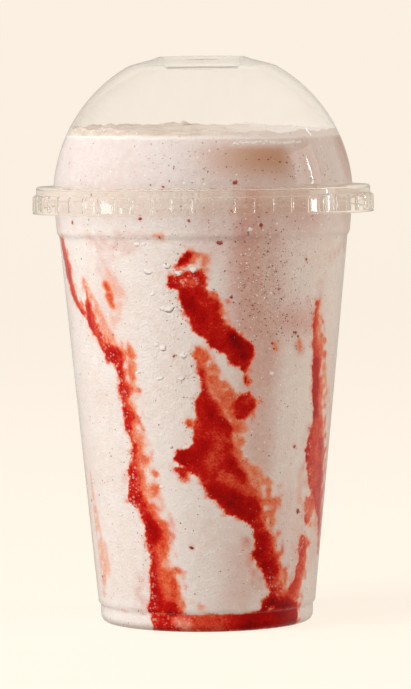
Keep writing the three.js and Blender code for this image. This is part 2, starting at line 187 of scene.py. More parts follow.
# Thin sauce that only tints the drink: a strength, then (turn, height, half width in mm)
ORANGE_TINTS = [
    (1.0, [(-43.5, 103, 1.2), (-42, 100, 1.5), (-40.5, 97, 1.0)]),
    (0.45, [(-42, 107, 1.4), (-37, 101, 2.4), (-40, 92, 2.2)]),
    (0.6, [(-58, 104, 1.4), (-52, 97, 2.2), (-46, 90, 2.2), (-40, 85, 2.0)]),
    (0.8, [(-35.5, 85, 1.8), (-32.5, 82, 1.8), (-33, 76, 1.6)]),
    (0.6, [(-34, 78, 1.6), (-32.5, 73, 1.2)]),
    (0.5, [(-30, 60, 1.2), (-27.5, 50, 1.6), (-22, 38, 1.6), (-20, 24, 1.6)]),
    (0.75, [(-22.5, 19, 1.4), (-20, 14, 1.8)]),
    (0.6, [(-7, 8.5, 1.0), (-2, 7.5, 0.9)]),
    (0.8, [(-19, 117.6, 0.5), (-16, 117.3, 0.9)]),
    (1.0, [(-3, 83.6, 1.6), (0, 81.6, 1.9)]),
    (0.75, [(-2.6, 111.8, 1.3), (0.6, 110.6, 1.6), (-0.4, 108.6, 0.9)]),
    (0.75, [(4.5, 99, 0.9), (7.4, 95, 0.9)]),
    (0.85, [(2, 80, 1.8), (4, 76, 2.4), (8, 71, 3.2), (13, 66, 3.4)]),
    (0.7, [(8, 66, 3.0), (16, 60, 2.6)]),
    (0.95, [(12, 66, 2.4), (17, 68, 2.4), (21, 68, 1.8)]),
    (0.8, [(13.5, 63, 2.2), (15.5, 57, 1.6)]),
    (0.7, [(22, 49, 1.6), (29, 43, 2.8), (33, 38, 2.4), (33, 32, 1.8)]),
    (0.35, [(30, 33, 1.6), (34, 29, 1.2), (36, 22, 1.6)]),
    (0.35, [(18, 26, 1.2), (20, 22, 1.4), (24, 17, 1.8)]),
    (0.6, [(38, 16, 2.0), (42, 12, 2.6)]),
    (0.9, [(18, 76.4, 0.7), (18.8, 75, 0.6)]),
    (0.9, [(-8, 62.8, 0.8), (-6, 62.8, 1.0)]),
    (0.4, [(49.5, 46, 1.2), (51, 38, 1.8)]),
    (0.8, [(30.6, 85.6, 0.5), (31.4, 83.8, 0.7)]),
    (0.8, [(43.6, 86.6, 0.5), (44.8, 83.6, 0.8)]),
    (0.6, [(57, 89, 1.6), (62, 84, 1.6), (64, 76, 1.8), (68, 69, 2.0)]),
    (0.4, [(71, 70, 2.4), (78, 58, 3.0), (82, 44, 3.0)]),
    (0.5, [(66, 32, 2.4), (74, 29, 2.6)]),
    (0.55, [(-71, 46, 0.6), (-70, 38, 1.4), (-68, 28, 2.4), (-66, 19, 3.0), (-69, 9, 1.0)]),
    (0.5, [(-62, 25, 1.4), (-61, 17, 2.0)]),
    (0.45, [(-82, 54, 0.8), (-84, 34, 3.0), (-85, 20, 2.4), (-80, 12, 0.8)]),
    (0.5, [(84, 72, 2.0), (86, 40, 3.0)]),
    (0.5, [(-150, 100, 2.2), (-149, 90, 1.8)]),
    (0.45, [(-122, 66, 2.2), (-121, 52, 2.6)]),
    (0.5, [(-128, 40, 2.4), (-124, 28, 2.2)]),
    (0.5, [(202, 88, 2.0), (203, 80, 2.4)]),
    (0.45, [(176, 66, 1.8), (174, 54, 2.4)]),
    (0.45, [(142, 58, 2.2), (144, 46, 2.4)]),
    (0.4, [(112, 60, 2.0), (110, 44, 2.8), (112, 30, 2.0)]),
    (0.4, [(160, 24, 3.0), (158, 12, 3.6)]),
    (0.7, [(-121, 108, 1.0), (-124, 100, 1.4), (-128, 90, 1.2)]),
    (0.8, [(-129, 82, 1.4), (-123, 72, 2.2), (-120, 62, 2.2), (-127, 50, 2.0)]),
    (0.8, [(-126, 41, 2.0), (-121, 28, 2.2), (-121, 14, 1.8)]),
    (0.8, [(182, 104, 1.2), (190, 97, 2.2), (201, 89, 2.0), (202, 78, 1.6)]),
    (0.8, [(199, 68, 2.0), (200, 58, 2.6), (202, 46, 2.2), (207, 36, 1.8), (205, 22, 2.0)]),
    (0.8, [(132, 100, 1.6), (138, 91, 1.8), (136, 80, 1.8)]),
    (0.8, [(135, 66, 2.0), (139, 55, 2.2), (143, 43, 2.0), (135, 30, 2.0), (134, 16, 1.8)]),
]
PINK_TINTS = [
    (0.3, [(-50, 116, 2.0), (-40, 114, 3.0), (-28, 115, 2.0)]),
    (0.22, [(-44, 108, 3.0), (-36, 100, 2.6)]),
    (0.2, [(-80, 118, 2.0), (-76, 121, 1.8)]),
    (0.3, [(-36, 118, 0.7), (-22, 117.5, 0.7)]),
    (0.3, [(-36, 15, 1.6), (-36, 8, 2.0)]),
    (0.35, [(-41, 46, 0.8), (-41.5, 40, 1.0)]),
    (0.35, [(22, 95, 2.0), (32, 92, 2.0), (42, 91, 2.4), (49, 94, 2.4)]),
    (0.7, [(43, 85, 1.0), (45, 83.5, 1.1)]),
    (0.6, [(29, 86, 1.2), (31, 85, 0.9)]),
    (0.4, [(41, 89, 0.8), (39, 88.5, 0.7)]),
    (0.5, [(62, 110, 0.5), (72, 112.5, 0.8), (80, 113.5, 0.8)]),
    (0.6, [(55.4, 102.4, 0.5), (55, 98, 0.7)]),
    (0.6, [(53.6, 95.6, 0.6), (53, 91.4, 1.0)]),
    (0.35, [(47.6, 97, 0.9), (45, 94, 0.8)]),
    (0.35, [(54, 60, 1.0), (53, 56, 1.2)]),
    (0.45, [(52, 48, 1.4), (55, 42, 1.8), (55, 34, 1.6)]),
    (0.4, [(50, 25, 1.4), (51, 19, 1.2), (47, 14, 1.2)]),
    (0.4, [(36, 30, 1.6), (40, 24, 2.0), (44, 18, 2.0)]),
    (0.5, [(20, 28, 1.2), (22, 20, 1.8), (27, 14, 1.6)]),
    (0.4, [(15.6, 79, 0.8), (20, 81, 1.0), (23, 86, 0.9)]),
    (0.25, [(-130, 118, 3.0), (-120, 112, 2.0)]),
    (0.3, [(150, 96, 2.6), (160, 90, 2.4)]),
]
# Broad rose-brown tints that darken the drink, most in a band at turns of 15 to 30,
# # and a light pink one over all the drink under the lid that is painted shade there
LID_SHADE_BLUSH = 0.04
BLUSH_TINTS = [
    (0.62, [(18, 127, 4.0), (17, 114, 4.6), (18, 102, 5.0), (20, 92, 6.0)]),
    (0.38, [(26, 116, 5.0), (27, 100, 5.0), (30, 92, 5.0)]),
    (0.5, [(24, 93, 4.0), (40, 92, 4.0), (52, 91, 3.4)]),
    (0.5, [(25, 88, 6.0), (24, 76, 5.0)]),
    (0.38, [(24, 76, 5.0), (24, 62, 4.4), (24, 50, 3.4)]),
    (0.34, [(22, 125, 4.0), (34, 124, 4.6), (46, 123, 4.0)]),
    (0.2, [(4, 124, 5.0), (3, 115, 5.0)]),
    (0.16, [(6, 142, 5.0), (24, 138, 8.0), (46, 136, 5.0)]),
    (0.25, [(16, 22, 3.4), (18, 10, 3.4)]),
    (0.2, [(40, 36, 5.0), (42, 26, 5.0)]),
    (0.25, [(52, 34, 3.6), (52, 22, 3.6)]),
    (0.25, [(72, 30, 4.6), (70, 22, 3.6)]),
    (0.2, [(-45, 96, 3.6), (-52, 90, 3.6)]),
    (0.3, [(160, 110, 6.0), (170, 90, 6.0), (175, 70, 5.0)]),
    (0.3, [(-120, 96, 6.0), (-125, 70, 5.0)]),
]
# Painted shade: the drink darker in a band between the lamps' light, at turns of about 20 to 30,
# and towards the far right under the dome
SHADE_TINTS = [
    (0.3, [(44, 142, 3.4), (46, 134, 3.4)]),
    (0.75, [(80, 145, 5.4), (86, 138, 6.0)]),
    (0.4, [(94, 143, 8.0), (98, 137, 8.0)]),
    (0.42, [(73, 143, 3.4), (76, 136, 3.6)]),
    (0.22, [(74, 128, 4.0), (78, 118, 4.0)]),
    (0.22, [(22, 126, 5.0), (21, 112, 6.0), (22, 98, 6.0), (24, 84, 5.0)]),
    (0.16, [(24, 84, 5.0), (24, 66, 5.0), (24, 50, 5.0)]),
    (0.08, [(24, 50, 5.0), (20, 30, 4.0), (18, 12, 4.0)]),
    (0.14, [(30, 128, 3.4), (42, 126, 3.4)]),
]
# Painted shade of the hollow behind the dome, where the drink stands back under a straight row of
# bubbles: its
# # turns and heights from where it starts to where it is full, and from where it is still full to
# where it has ended
HOLLOW_TURNS = (-10, 25, 30, 42)
HOLLOW_HEIGHTS = (129.5, 139.5, 141.8, 144.6)
HOLLOW_SHADE = 0.92
BEAD_HEIGHT = 144.2
BEAD_ROW = (13, 43)
# The lower edge of the froth against the dome: turns and heights
FROTH_LINE = [(-180, 146.4), (-70, 146.4), (-30, 146.1), (0, 145.9), (30, 145.8), (60, 146.2),
              (180, 146.4)]
# How deep the sauce of each streak is, from a thin smear at 0 to a dark clot at 1
SAUCE_DEPTHS = {
    "sauce_streak_front_upper": 0.72,
    "sauce_streak_front_lower": 0.67,
    "sauce_streak_left": 0.65,
    "sauce_streak_right": 0.55,
    "sauce_streak_right_foot": 0.54,
    "sauce_streak_back_left": 0.6,
    "sauce_streak_back": 0.68,
    "sauce_streak_back_right": 0.56,
    "sauce_pool": 0.6,
}
# The same for the wash beside a streak, and for the halo round a front one and a back one
WASH_DEPTH = 0.4
HALO_DEPTH = 0.24
BACK_HALO_DEPTH = 0.3
# How far a piece of sauce reaches past its edge, so that the edge's tones lie on a fine mesh,
# how fine that mesh is, how far its middle swells, and how low it may reach
SAUCE_HEM = 0.6
SAUCE_GRID = 0.34
SAUCE_SWELL = 0.05
SAUCE_FOOT = 0.45
DEEP_STROKES = [
    (0.2, [(12, 87.5, 1.6), (18, 83.5, 2.2)]),
    (0.14, [(-10.5, 110.5, 1.0), (-7, 112, 1.0)]),
    (0.1, [(-8, 100, 1.4), (-2, 94, 1.4)]),
    (0.13, [(1, 69, 1.6), (9, 61, 2.0)]),
    (0.14, [(-11, 53, 1.8), (-4, 52, 1.8), (0, 56, 1.2)]),
    (0.16, [(2, 43, 1.2), (12, 40, 2.2), (22, 36, 2.2)]),
    (0.14, [(12, 51, 1.6), (18, 46, 1.4)]),
    (0.14, [(28, 28, 1.0), (27, 23, 1.6)]),
    (0.16, [(31, 19.5, 1.2), (36, 18, 1.4)]),
    (0.21, [(22, 3, 3.0), (38, 4, 3.5), (55, 3.5, 3.0)]),
    (0.2, [(34, 8, 1.4), (44, 7.5, 1.4)]),
    (0.08, [(12, 3, 2.0), (17, 3, 2.0)]),
    (0.12, [(-44, 82, 1.2), (-38, 81.5, 1.4)]),
    (0.14, [(-28, 34, 1.6), (-26, 28.5, 1.2)]),
    (0.1, [(-29, 16, 1.2), (-26, 9, 1.6)]),
    (0.16, [(-31, 6, 0.7), (-18, 6, 0.7)]),
    (0.16, [(56.5, 78, 2.0), (57, 64, 2.0)]),
    (0.14, [(70, 54, 3.0), (75, 40, 3.4), (76, 30, 2.6)]),
    (0.12, [(50, 88, 2.0), (52, 40, 2.0)]),
    (0.16, [(196, 83, 1.6), (192, 72, 1.4)]),
    (0.14, [(197, 32, 1.4), (198, 20, 1.6)]),
    (0.14, [(-138, 34, 1.6), (-130, 22, 1.2)]),
    (0.14, [(123, 98, 1.2), (130, 88, 1.2)]),
]
THIN_STROKES = [
    (0.22, [(-3, 84, 2.0), (-1, 81, 1.8)]),
    (0.2, [(1.5, 110, 2.0), (-1, 108, 1.0)]),
    (0.2, [(-8, 104.6, 0.9), (-4, 104.2, 0.9)]),
    (0.14, [(2, 79, 1.0), (4, 72, 2.0), (10, 66, 2.0)]),
    (0.12, [(4, 55, 2.0), (3, 50, 1.8)]),
    (0.14, [(8, 47, 1.6), (18, 44, 2.0), (24, 42, 1.6)]),
    (0.14, [(40, 14, 2.4), (42, 11, 2.0)]),
    (0.16, [(-7, 62.8, 1.4), (-5.6, 62.8, 1.4)]),
    (0.16, [(-24, 24, 1.2), (-21, 18, 1.8), (-20, 11, 1.4)]),
    (0.3, [(-16, 3.4, 1.2), (-11, 2.4, 1.8)]),
    (0.12, [(-8, 3, 2.6), (6, 4, 3.0)]),
    (0.14, [(-56.3, 103, 1.0), (-56, 98.5, 1.2)]),
    (0.16, [(56, 37, 2.0), (60, 34, 2.0)]),
    (0.12, [(56, 89, 1.6), (57, 85, 1.4)]),
    (0.22, [(184, 96, 1.6), (191, 88, 2.0)]),
    (0.22, [(190, 57, 2.0), (193, 46, 2.0)]),
    (0.16, [(-133, 62, 1.4), (-136, 48, 1.6)]),
    (0.16, [(127, 60, 1.4), (134, 46, 1.6)]),
]
FROST_STROKES = [
    (0.2, [(-57, 118, 2.0), (-56, 102, 1.6)]),
    (0.35, [(-50, 92, 1.6), (-40, 78, 1.6), (-38, 66, 2.0)]),
    (0.4, [(-36, 60, 1.6), (-38, 44, 2.4), (-37, 39, 2.0), (-31, 26, 1.2), (-31, 12, 1.8),
           (-32, 3, 2.0)]),
    (0.5, [(-9, 104.6, 1.2), (-4.5, 104.4, 1.2)]),
    (0.3, [(-20, 3, 2.0), (-14, 3.5, 2.5), (-8, 3, 2.0)]),
    (0.3, [(33, 15, 1.6), (42, 11, 1.6)]),
    (0.4, [(52, 60, 1.6), (55, 48, 2.6), (57, 40, 2.6), (57, 33, 2.4)]),
    (0.4, [(55, 26, 1.6), (52, 18, 1.2)]),
    (0.4, [(-80, 40, 5.0), (-72, 15, 5.0)]),
    (0.4, [(175, 104, 1.4), (183, 90, 1.4)]),
    (0.4, [(180, 56, 1.6), (181, 42, 1.8)]),
    (0.35, [(-140, 66, 1.2), (-143, 42, 1.6)]),
    (0.35, [(120, 62, 1.2), (127, 42, 1.6)]),
]
# An edge of sauce: its width in mm, and from where to where its tone rises
CRISP_EDGE = 0.75
EDGE_RISE = (-0.7, 0.8)
# The fruit bits that show: (turn, height, radius in mm)
FRUIT_BITS = [
    (-24.5, 122.6, 0.6), (-5.5, 122.0, 0.45), (6.2, 115.5, 0.85), (22.3, 120.5, 0.65),
    (24.5, 123.8, 0.4), (11.0, 99.6, 0.55), (20, 97, 0.3), (45.0, 110.0, 0.4),
    (50.2, 35.0, 0.85), (-7.5, 25.6, 0.6), (45, 54.5, 0.5), (-13, 82.4, 0.4),
    (12.0, 132.8, 0.7), (-15, 131.6, 0.45), (10.6, 124.6, 0.4), (41.5, 88.5, 0.55),
    (29.5, 85.6, 0.45), (-0.5, 103, 0.4), (-17, 117.3, 0.35), (31.5, 101.5, 0.4),
]
FRUIT_THICKNESS = 0.12
SPECK_THICKNESS = 0.06
# How many lie at random: bits of fruit on the sides that the photo doesn't show, flecks of
# sauce, tries at a bubble on the wall, all small bubbles in the end, and bubbles in the froth
HIDDEN_FRUIT = 40
FLECKS = 900
BUBBLE_TRIES = 500
SMALL_BUBBLES = 1500
FROTH_BUBBLES = 160
# A bubble lies only where the sauce is thinner than this
BARE_DRINK = 0.3
# Dark specks that show one by one: (turn, height, radius in mm)
SPECK_SPOTS = [
    (-50, 144.4, 0.24), (-21, 144.2, 0.3), (-16, 144.3, 0.24), (-28, 143.6, 0.2),
    (0, 144.4, 0.26), (6, 142.6, 0.22), (-3, 141.8, 0.2), (9, 141.2, 0.3), (-15, 140.8, 0.2),
    (17, 139.6, 0.22), (22, 139.4, 0.3), (26, 139.4, 0.4), (31, 138.6, 0.4), (34, 138.4, 0.38),
    (37, 137.4, 0.32), (41, 139.6, 0.24), (43, 140.4, 0.28), (46, 137, 0.3), (39, 136, 0.3),
    (-13, 138, 0.24), (-11, 137.6, 0.26), (9, 137.4, 0.28), (-45, 139.6, 0.2), (2, 136.2, 0.2),
    (12.6, 133.4, 0.28), (-4, 133, 0.26), (20, 136.4, 0.2), (28, 133.6, 0.22), (35, 134.4, 0.24),
    (20.4, 121.4, 0.2), (14, 121, 0.24), (17, 119.4, 0.22), (32, 119, 0.26), (-9, 115, 0.3),
    (27, 116.4, 0.22), (10.4, 99.6, 0.3), (14.4, 97.6, 0.26), (16.6, 95.4, 0.24),
    (-13.4, 101, 0.22), (4, 101.8, 0.32), (39, 105.6, 0.22), (-35, 107, 0.24), (16, 93, 0.3),
    (40.4, 88.6, 0.4), (-10, 74.6, 0.22), (-12, 82.6, 0.26), (20, 86.4, 0.3), (2, 80, 0.2),
    (-3, 38, 0.2), (44.6, 54.8, 0.26), (-21, 62, 0.24), (30, 60, 0.2), (37, 47, 0.24),
    (12, 98, 0.36), (45.8, 109, 0.3), (33, 98.7, 0.3), (19, 94, 0.26), (43, 87.4, 0.45),
    (30.5, 84, 0.35), (26, 115, 0.3), (37, 112, 0.26), (22, 108, 0.28), (29, 104, 0.24),
    (18, 105, 0.26), (40, 101, 0.24), (47, 99, 0.22), (24, 100, 0.22), (34, 94, 0.24),
    (50, 112, 0.24), (13, 110, 0.24), (33, 108, 0.22), (8, 93, 0.26), (22, 88, 0.24),
]
BUBBLE_SPOTS = [
    (-14.5, 109.3, 1.5), (-22.5, 107.5, 1.6), (-17, 97.0, 1.4), (-14.4, 96.6, 1.9),
    (-17.6, 85.4, 1.7), (-20.3, 86.0, 1.0), (-19.5, 76.0, 1.4), (-10, 76.2, 1.3),
    (-27, 115.4, 1.3), (-24, 115.5, 0.9), (-10, 107.2, 1.5), (-4.2, 108.2, 1.6),
    (-8.5, 83.0, 1.4), (-13, 88.6, 0.8), (29.8, 77.0, 1.2), (-30, 77.5, 0.9),
    (-16, 56.0, 0.9), (-21, 44.0, 1.1), (18, 119.5, 1.1), (-21, 101, 1.2),
]
# Where fine specks and drops crowd: (turn, height, spread in degrees, spread in mm, how many),
# and between which heights they may lie
CROWD_SPAN = (5, 145)
DROP_SPAN = (8, 115)
SPECK_CROWDS = [
    (26, 104, 8, 9, 230), (38, 108, 8, 8, 120), (18, 119, 9, 4, 60), (38, 90, 9, 5, 90),
    (-40, 117, 14, 3, 40), (-8, 137, 18, 5, 40), (26, 134, 12, 3, 30), (50, 137, 8, 5, 50),
    (-12, 98, 4, 6, 30), (22, 24, 5, 8, 30), (34, 14, 6, 5, 25), (-36, 30, 4, 20, 30),
    (150, 100, 16, 14, 90), (-150, 60, 16, 20, 70),
]
DROP_CROWDS = [
    (28, 102, 9, 10, 240), (40, 112, 9, 6, 80), (50, 138, 9, 5, 40), (-12, 98, 5, 8, 26),
    (36, 128, 9, 2, 16), (-30, 115, 10, 3, 14), (0, 60, 16, 20, 30), (170, 90, 30, 24, 110),
    (-110, 80, 20, 26, 60),
]

# What the lid's doubled walls do to light, and how far up that fades; the painted shade on the
# drink under the lid
LID_CREAM = (0.985, 0.95, 0.89)
LID_CREAM_FADE = 1.2
UNDER_LID_SHADE = (0.905, 0.905, 0.92)
# What lights the cup: the room's colours from all round and before it in reflections, how
# much of the backdrop's own tone is behind it, and how the backdrop glows and reflects
ROOM_FILL = (0.44, 0.36, 0.31)
ROOM_FRONT = (0.025, 0.022, 0.02)
ROOM_BEHIND = 0.52
BACKDROP_GLOW = 0.88
BACKDROP_TONE = 0.2
FLOOR_RADIUS = 1200
BACKDROP_RADIUS = 2600
BACKDROP_BEND = 900
# A path of light that has met more surfaces than this passes straight out of clear plastic
MOST_SURFACES = 4


# Shapes of the cup, the lid and the drink as (radius, height) lines

def cone_radius(height):
    """The cup's outer radius on its tapered side."""
    return CONE_FOOT + CONE_SLOPE * (height - FOOT_TOP - FOOT_STEP)


def eased(corners, steps=4):
    """A line of (radius, height, ease) corners with each corner rounded off by its ease."""
    line = []
    for i, (r, z, ease) in enumerate(corners):
        corner = Vector((r, z))
        if ease == 0 or i in (0, len(corners) - 1):
            line.append(corner)
            continue
        before = Vector(corners[i - 1][:2]) - corner
        after = Vector(corners[i + 1][:2]) - corner
        start = corner + before.normalized() * min(ease, before.length * 0.48)
        end = corner + after.normalized() * min(ease, after.length * 0.48)
        for k in range(steps + 1):
            t = k / steps
            line.append(start * (1 - t) ** 2 + corner * 2 * t * (1 - t) + end * t ** 2)
    return line


def arc(centre_z, radius, from_r, to_r, steps):
    """Points of a dome of the given radius, between two distances from its axis."""
    first, last = math.asin(from_r / radius), math.asin(to_r / radius)
    turns = [first + (last - first) * k / steps for k in range(steps + 1)]
    return [Vector((radius * math.sin(t), centre_z + radius * math.cos(t))) for t in turns]


def side_corners(inset):
    """The cup's side from its foot to its rim, moved inwards by inset."""
    return [
        (FOOT_RADIUS - inset, inset * 0.9, FOOT_CORNER - inset * 0.6),
        (FOOT_RADIUS - inset, FOOT_TOP + inset / 2, 0.35),
        (CONE_FOOT - inset, FOOT_TOP + FOOT_STEP + inset / 2, 0.35),
        (cone_radius(SHOULDER_LOW) - inset, SHOULDER_LOW, 0.5),
        (BAND_LOW - inset, SHOULDER_HIGH, 0.5),
    ]


def cup_line():
    """The cup's whole section, closed on itself at the middle of its floor."""
    return eased([
        (0, PUNT_HEIGHT + PUNT_CROWN, 0),
        (PUNT_RADIUS - WALL / 2, PUNT_HEIGHT, 0.8),
        (PUNT_RADIUS + PUNT_SLOPE - WALL / 2, 0, 0.5),
        *side_corners(0),
        (BAND_HIGH, RIM_LOW - WALL / 2, 0.6),
        (RIM_RADIUS - 1.6, RIM_LOW, 0.4),
        (RIM_RADIUS, RIM_LOW, 1.5),
        (RIM_RADIUS, RIM_TOP, 1.5),
        (BAND_HIGH - WALL, RIM_TOP, 0.7),
        (BAND_HIGH - WALL, RIM_LOW, 0.6),
        *reversed(side_corners(WALL)),
        (PUNT_RADIUS + PUNT_SLOPE, WALL, 0.5),
        (PUNT_RADIUS, PUNT_HEIGHT + WALL, 0.8),
        (0, PUNT_HEIGHT + WALL + PUNT_CROWN, 0),
    ])


def dome_line(inset):
    """The lid from the middle of its dished top to the foot of its dome, moved in by inset."""
    radius = DOME_RADIUS - inset
    shoulder = SHOULDER_RADIUS - inset * 0.4
    crown = eased([
        (0, DISH_CENTRE - inset, 0),
        (DISH_RADIUS * 0.55, DISH_CENTRE - 0.5 - inset, 2.5),
        (DISH_RADIUS, DISH_EDGE - inset, 1.0),
        (CREST_RADIUS - 1.4, LID_TOP - 0.6 - inset, 0.9),
        (CREST_RADIUS - 0.8, LID_TOP - 0.1 - inset, 0.6),
        (CREST_RADIUS + 1.6, LID_TOP - 1.0 - inset, 1.6),
        (CREST_RADIUS + 5.4 - inset * 0.2, LID_TOP - 1.95 - inset, 2.0),
        (shoulder, DOME_CENTRE + math.sqrt(radius ** 2 - shoulder ** 2), 0),
    ], steps=6)
    dome = arc(DOME_CENTRE, radius, shoulder + 0.6, DOME_FOOT - inset, 36)
    return crown + dome


def lid_line():
    """The lid's whole section: dome, ledge on the rim, skirt with its lip, and back inside."""
    under = LEDGE_TOP - LID_WALL
    skirt = eased([
        (DOME_FOOT, LEDGE_TOP + 1.4, 0),
        (DOME_FOOT + 0.15, LEDGE_TOP, 0.9),
        (LEDGE_RADIUS, LEDGE_TOP, 0.9),
        (LEDGE_RADIUS, SKIRT_STEP + 0.15, 0.2),
        (SKIRT_TOP_RADIUS, SKIRT_STEP - 0.15, 0.2),
        (SKIRT_TOP_RADIUS + 0.02, GRIP_HIGH + 0.3, 0),
        (SKIRT_TOP_RADIUS + 0.05, GRIP_HIGH, 0),
        (SKIRT_FOOT_RADIUS, GRIP_LOW, 0),
        (SKIRT_FOOT_RADIUS + 0.02, SKIRT_BOTTOM + 0.65, 0.1),
        (LIP_RADIUS, SKIRT_BOTTOM + 0.5, 0.25),
        (LIP_RADIUS, SKIRT_BOTTOM, 0.2),
        (LIP_RADIUS - 0.75, SKIRT_BOTTOM, 0.2),
        (SKIRT_FOOT_RADIUS - SKIRT_WALL, SKIRT_BOTTOM + 0.7, 0.2),
        (SKIRT_FOOT_RADIUS - SKIRT_WALL, GRIP_LOW, 0),
        (SKIRT_TOP_RADIUS - SKIRT_WALL, GRIP_HIGH, 0),
        (SKIRT_TOP_RADIUS - SKIRT_WALL, GRIP_HIGH + 0.3, 0),
        (LEDGE_RADIUS - LID_WALL, SKIRT_STEP + 0.1, 0.2),
        (LEDGE_RADIUS - LID_WALL, under, 0.6),
        (DOME_FOOT - LID_WALL + 0.1, under, 0.9),
        (DOME_FOOT - LID_WALL, LEDGE_TOP + 1.4, 0),
    ], steps=3)
    return dome_line(0) + skirt + list(reversed(dome_line(LID_WALL)))


def drink_side(height):
    """The radius of the drink's side at a height, just inside the plastic it lies against."""
    inset = WALL - REACH
    corner = FOOT_CORNER - inset
    if height < FOOT_CORNER:
        drop = FOOT_CORNER - max(height, inset)
        return FOOT_RADIUS - FOOT_CORNER + math.sqrt(max(corner ** 2 - drop ** 2, 0))
    if height < SHOULDER_LOW:
        step = min(max((height - FOOT_TOP - inset / 2) / FOOT_STEP, 0), 1)
        band = FOOT_RADIUS - inset
        return band + (cone_radius(max(height, FOOT_TOP + FOOT_STEP)) - inset - band) * step
    if height < RIM_LOW:
        step = min((height - SHOULDER_LOW) / (SHOULDER_HIGH - SHOULDER_LOW), 1)
        low = cone_radius(SHOULDER_LOW)
        rise = (BAND_HIGH - BAND_LOW) * max(height - SHOULDER_HIGH, 0) / (RIM_LOW - SHOULDER_HIGH)
        return low + (BAND_LOW - low) * step + rise - inset
    dome = DOME_RADIUS - LID_WALL + REACH
    return min(BAND_HIGH - inset, math.sqrt(dome ** 2 - (height - DOME_CENTRE) ** 2))


def froth_height(x, y):
    """How far the drink's top stands above its level at a place, in millimetres."""
    rise = 1.05 + 0.03 * y - 0.012 * x
    rise += 0.28 * math.sin(0.31 * x + 0.4) * math.sin(0.27 * y + 1.0)
    rise += 0.2 * math.sin(0.47 * x + 2.7) * math.sin(0.53 * y + 0.9)
    spot = Vector((x, y, 0))
    rise += 0.5 * noise.noise(spot * 0.16) + 0.3 * noise.noise(spot * 0.45)
    rise += 0.12 * noise.noise(spot * 1.1)
    return rise


def wall_spot(turn, height, lift=0.0):
    """The place on the drink's side at a turn in degrees and a height, in metres."""
    r = drink_side(height) + lift
    a = math.radians(turn)
    return Vector((r * math.sin(a), -r * math.cos(a), height)) * MM


# Fields over the unrolled side: rows are heights and columns are turns

COLUMNS = 900
ROWS = 420
FIELD_TOP = 150
FIRST_TURN = -150
TURNS = (np.arange(COLUMNS) + 0.5) * 360 / COLUMNS + FIRST_TURN
HEIGHTS = (np.arange(ROWS) + 0.5) * FIELD_TOP / ROWS
SIDE_RADII = np.array([drink_side(h) for h in HEIGHTS])
FAR = 30.0
# How far round a packed streak its outline's field reaches, and the rays that find the streak
MARGIN = 6.0
MARGIN_TURNS = 12.0
RAY_START = 60
RAY_LENGTH = 45


def turn_gap(turn):
    """The signed way round from a turn to each column, in degrees."""
    return (TURNS - turn + 180) % 360 - 180


def soft_step(value, low, high):
    """Rises smoothly from 0 to 1 as a value goes from low to high."""
    share = np.clip((value - low) / (high - low), 0, 1)
    return share * share * (3 - 2 * share)


def window(value, limits):
    """Rises from 0 to 1 between the first two limits, and falls back between the last two."""
    return soft_step(value, *limits[:2]) * (1 - soft_step(value, *limits[2:]))


def stroke_field(stroke):
    """How far each point lies inside a stroke, in millimetres, with minus outside."""
    field = np.full((ROWS, COLUMNS), -FAR)
    for (turn0, z0, half0), (turn1, z1, half1) in zip(stroke, stroke[1:]):
        across = np.radians(turn_gap(turn0))[None, :] * SIDE_RADII[:, None]
        up = (HEIGHTS - z0)[:, None]
        run = math.radians(turn1 - turn0) * SIDE_RADII[:, None]
        rise = z1 - z0
        share = np.clip((across * run + up * rise) / (run ** 2 + rise ** 2), 0, 1)
        away = np.hypot(across - share * run, up - share * rise)
        field = np.maximum(field, half0 + share * (half1 - half0) - away)
    return field


def run_gaps(run):
    """How far each point lies inside a run's left edge, right edge and wash, in millimetres."""
    rows = sorted(run)
    heights = [row[0] for row in rows]
    ends = np.minimum(HEIGHTS - heights[0], heights[-1] - HEIGHTS)[:, None]
    gaps = []
    for side, sign in ((1, 1), (2, -1), (3, -1)):
        edge = np.interp(HEIGHTS, heights, [row[side] for row in rows])
        lean = np.gradient(np.radians(edge), HEIGHTS) * SIDE_RADII
        across = np.radians(TURNS[None, :] - edge[:, None]) * SIDE_RADII[:, None]
        gaps.append(sign * across / np.hypot(1, lean)[:, None])
    return np.minimum(gaps[0], ends), gaps[1], gaps[2]


def outline_field(streak):
    """How far each point lies inside a packed streak's outline, in millimetres."""
    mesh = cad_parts[streak].data
    tree = BVHTree.FromPolygons(
        [v.co for v in mesh.vertices], [tuple(p.vertices) for p in mesh.polygons])
    spans = np.array([place_of(v.co) for v in mesh.vertices])
    middle = spans[0, 0]
    gaps = (spans[:, 0] - middle + 180) % 360 - 180
    round_gap = turn_gap(middle)
    columns = np.flatnonzero((round_gap > gaps.min() - MARGIN_TURNS)
                             & (round_gap < gaps.max() + MARGIN_TURNS))
    rows = np.flatnonzero((HEIGHTS > spans[:, 1].min() - MARGIN)
                          & (HEIGHTS < spans[:, 1].max() + MARGIN))
    inside = np.zeros((ROWS, COLUMNS), bool)
    for k in columns:
        a = math.radians(TURNS[k])
        out = Vector((math.sin(a), -math.cos(a), 0))
        for i in rows:
            start = (out * RAY_START + Vector((0, 0, HEIGHTS[i]))) * MM
            inside[i, k] = tree.ray_cast(start, -out, RAY_LENGTH * MM)[0] is not None
    edge = np.zeros_like(inside)
    edge[1:-1] |= inside[1:-1] & ~(inside[:-2] & inside[2:])
    edge |= inside & ~(np.roll(inside, 1, 1) & np.roll(inside, -1, 1))
    spots = list(zip(*np.nonzero(edge)))
    tree = KDTree(len(spots))
    for n, (i, k) in enumerate(spots):
        tree.insert(wall_spot(TURNS[k], HEIGHTS[i]) / MM, n)
    tree.balance()
    field = np.full((ROWS, COLUMNS), -FAR)
    for i in rows:
        for k in columns:
            away = tree.find(wall_spot(TURNS[k], HEIGHTS[i]) / MM)[2]
            field[i, k] = away if inside[i, k] else -away
    return field


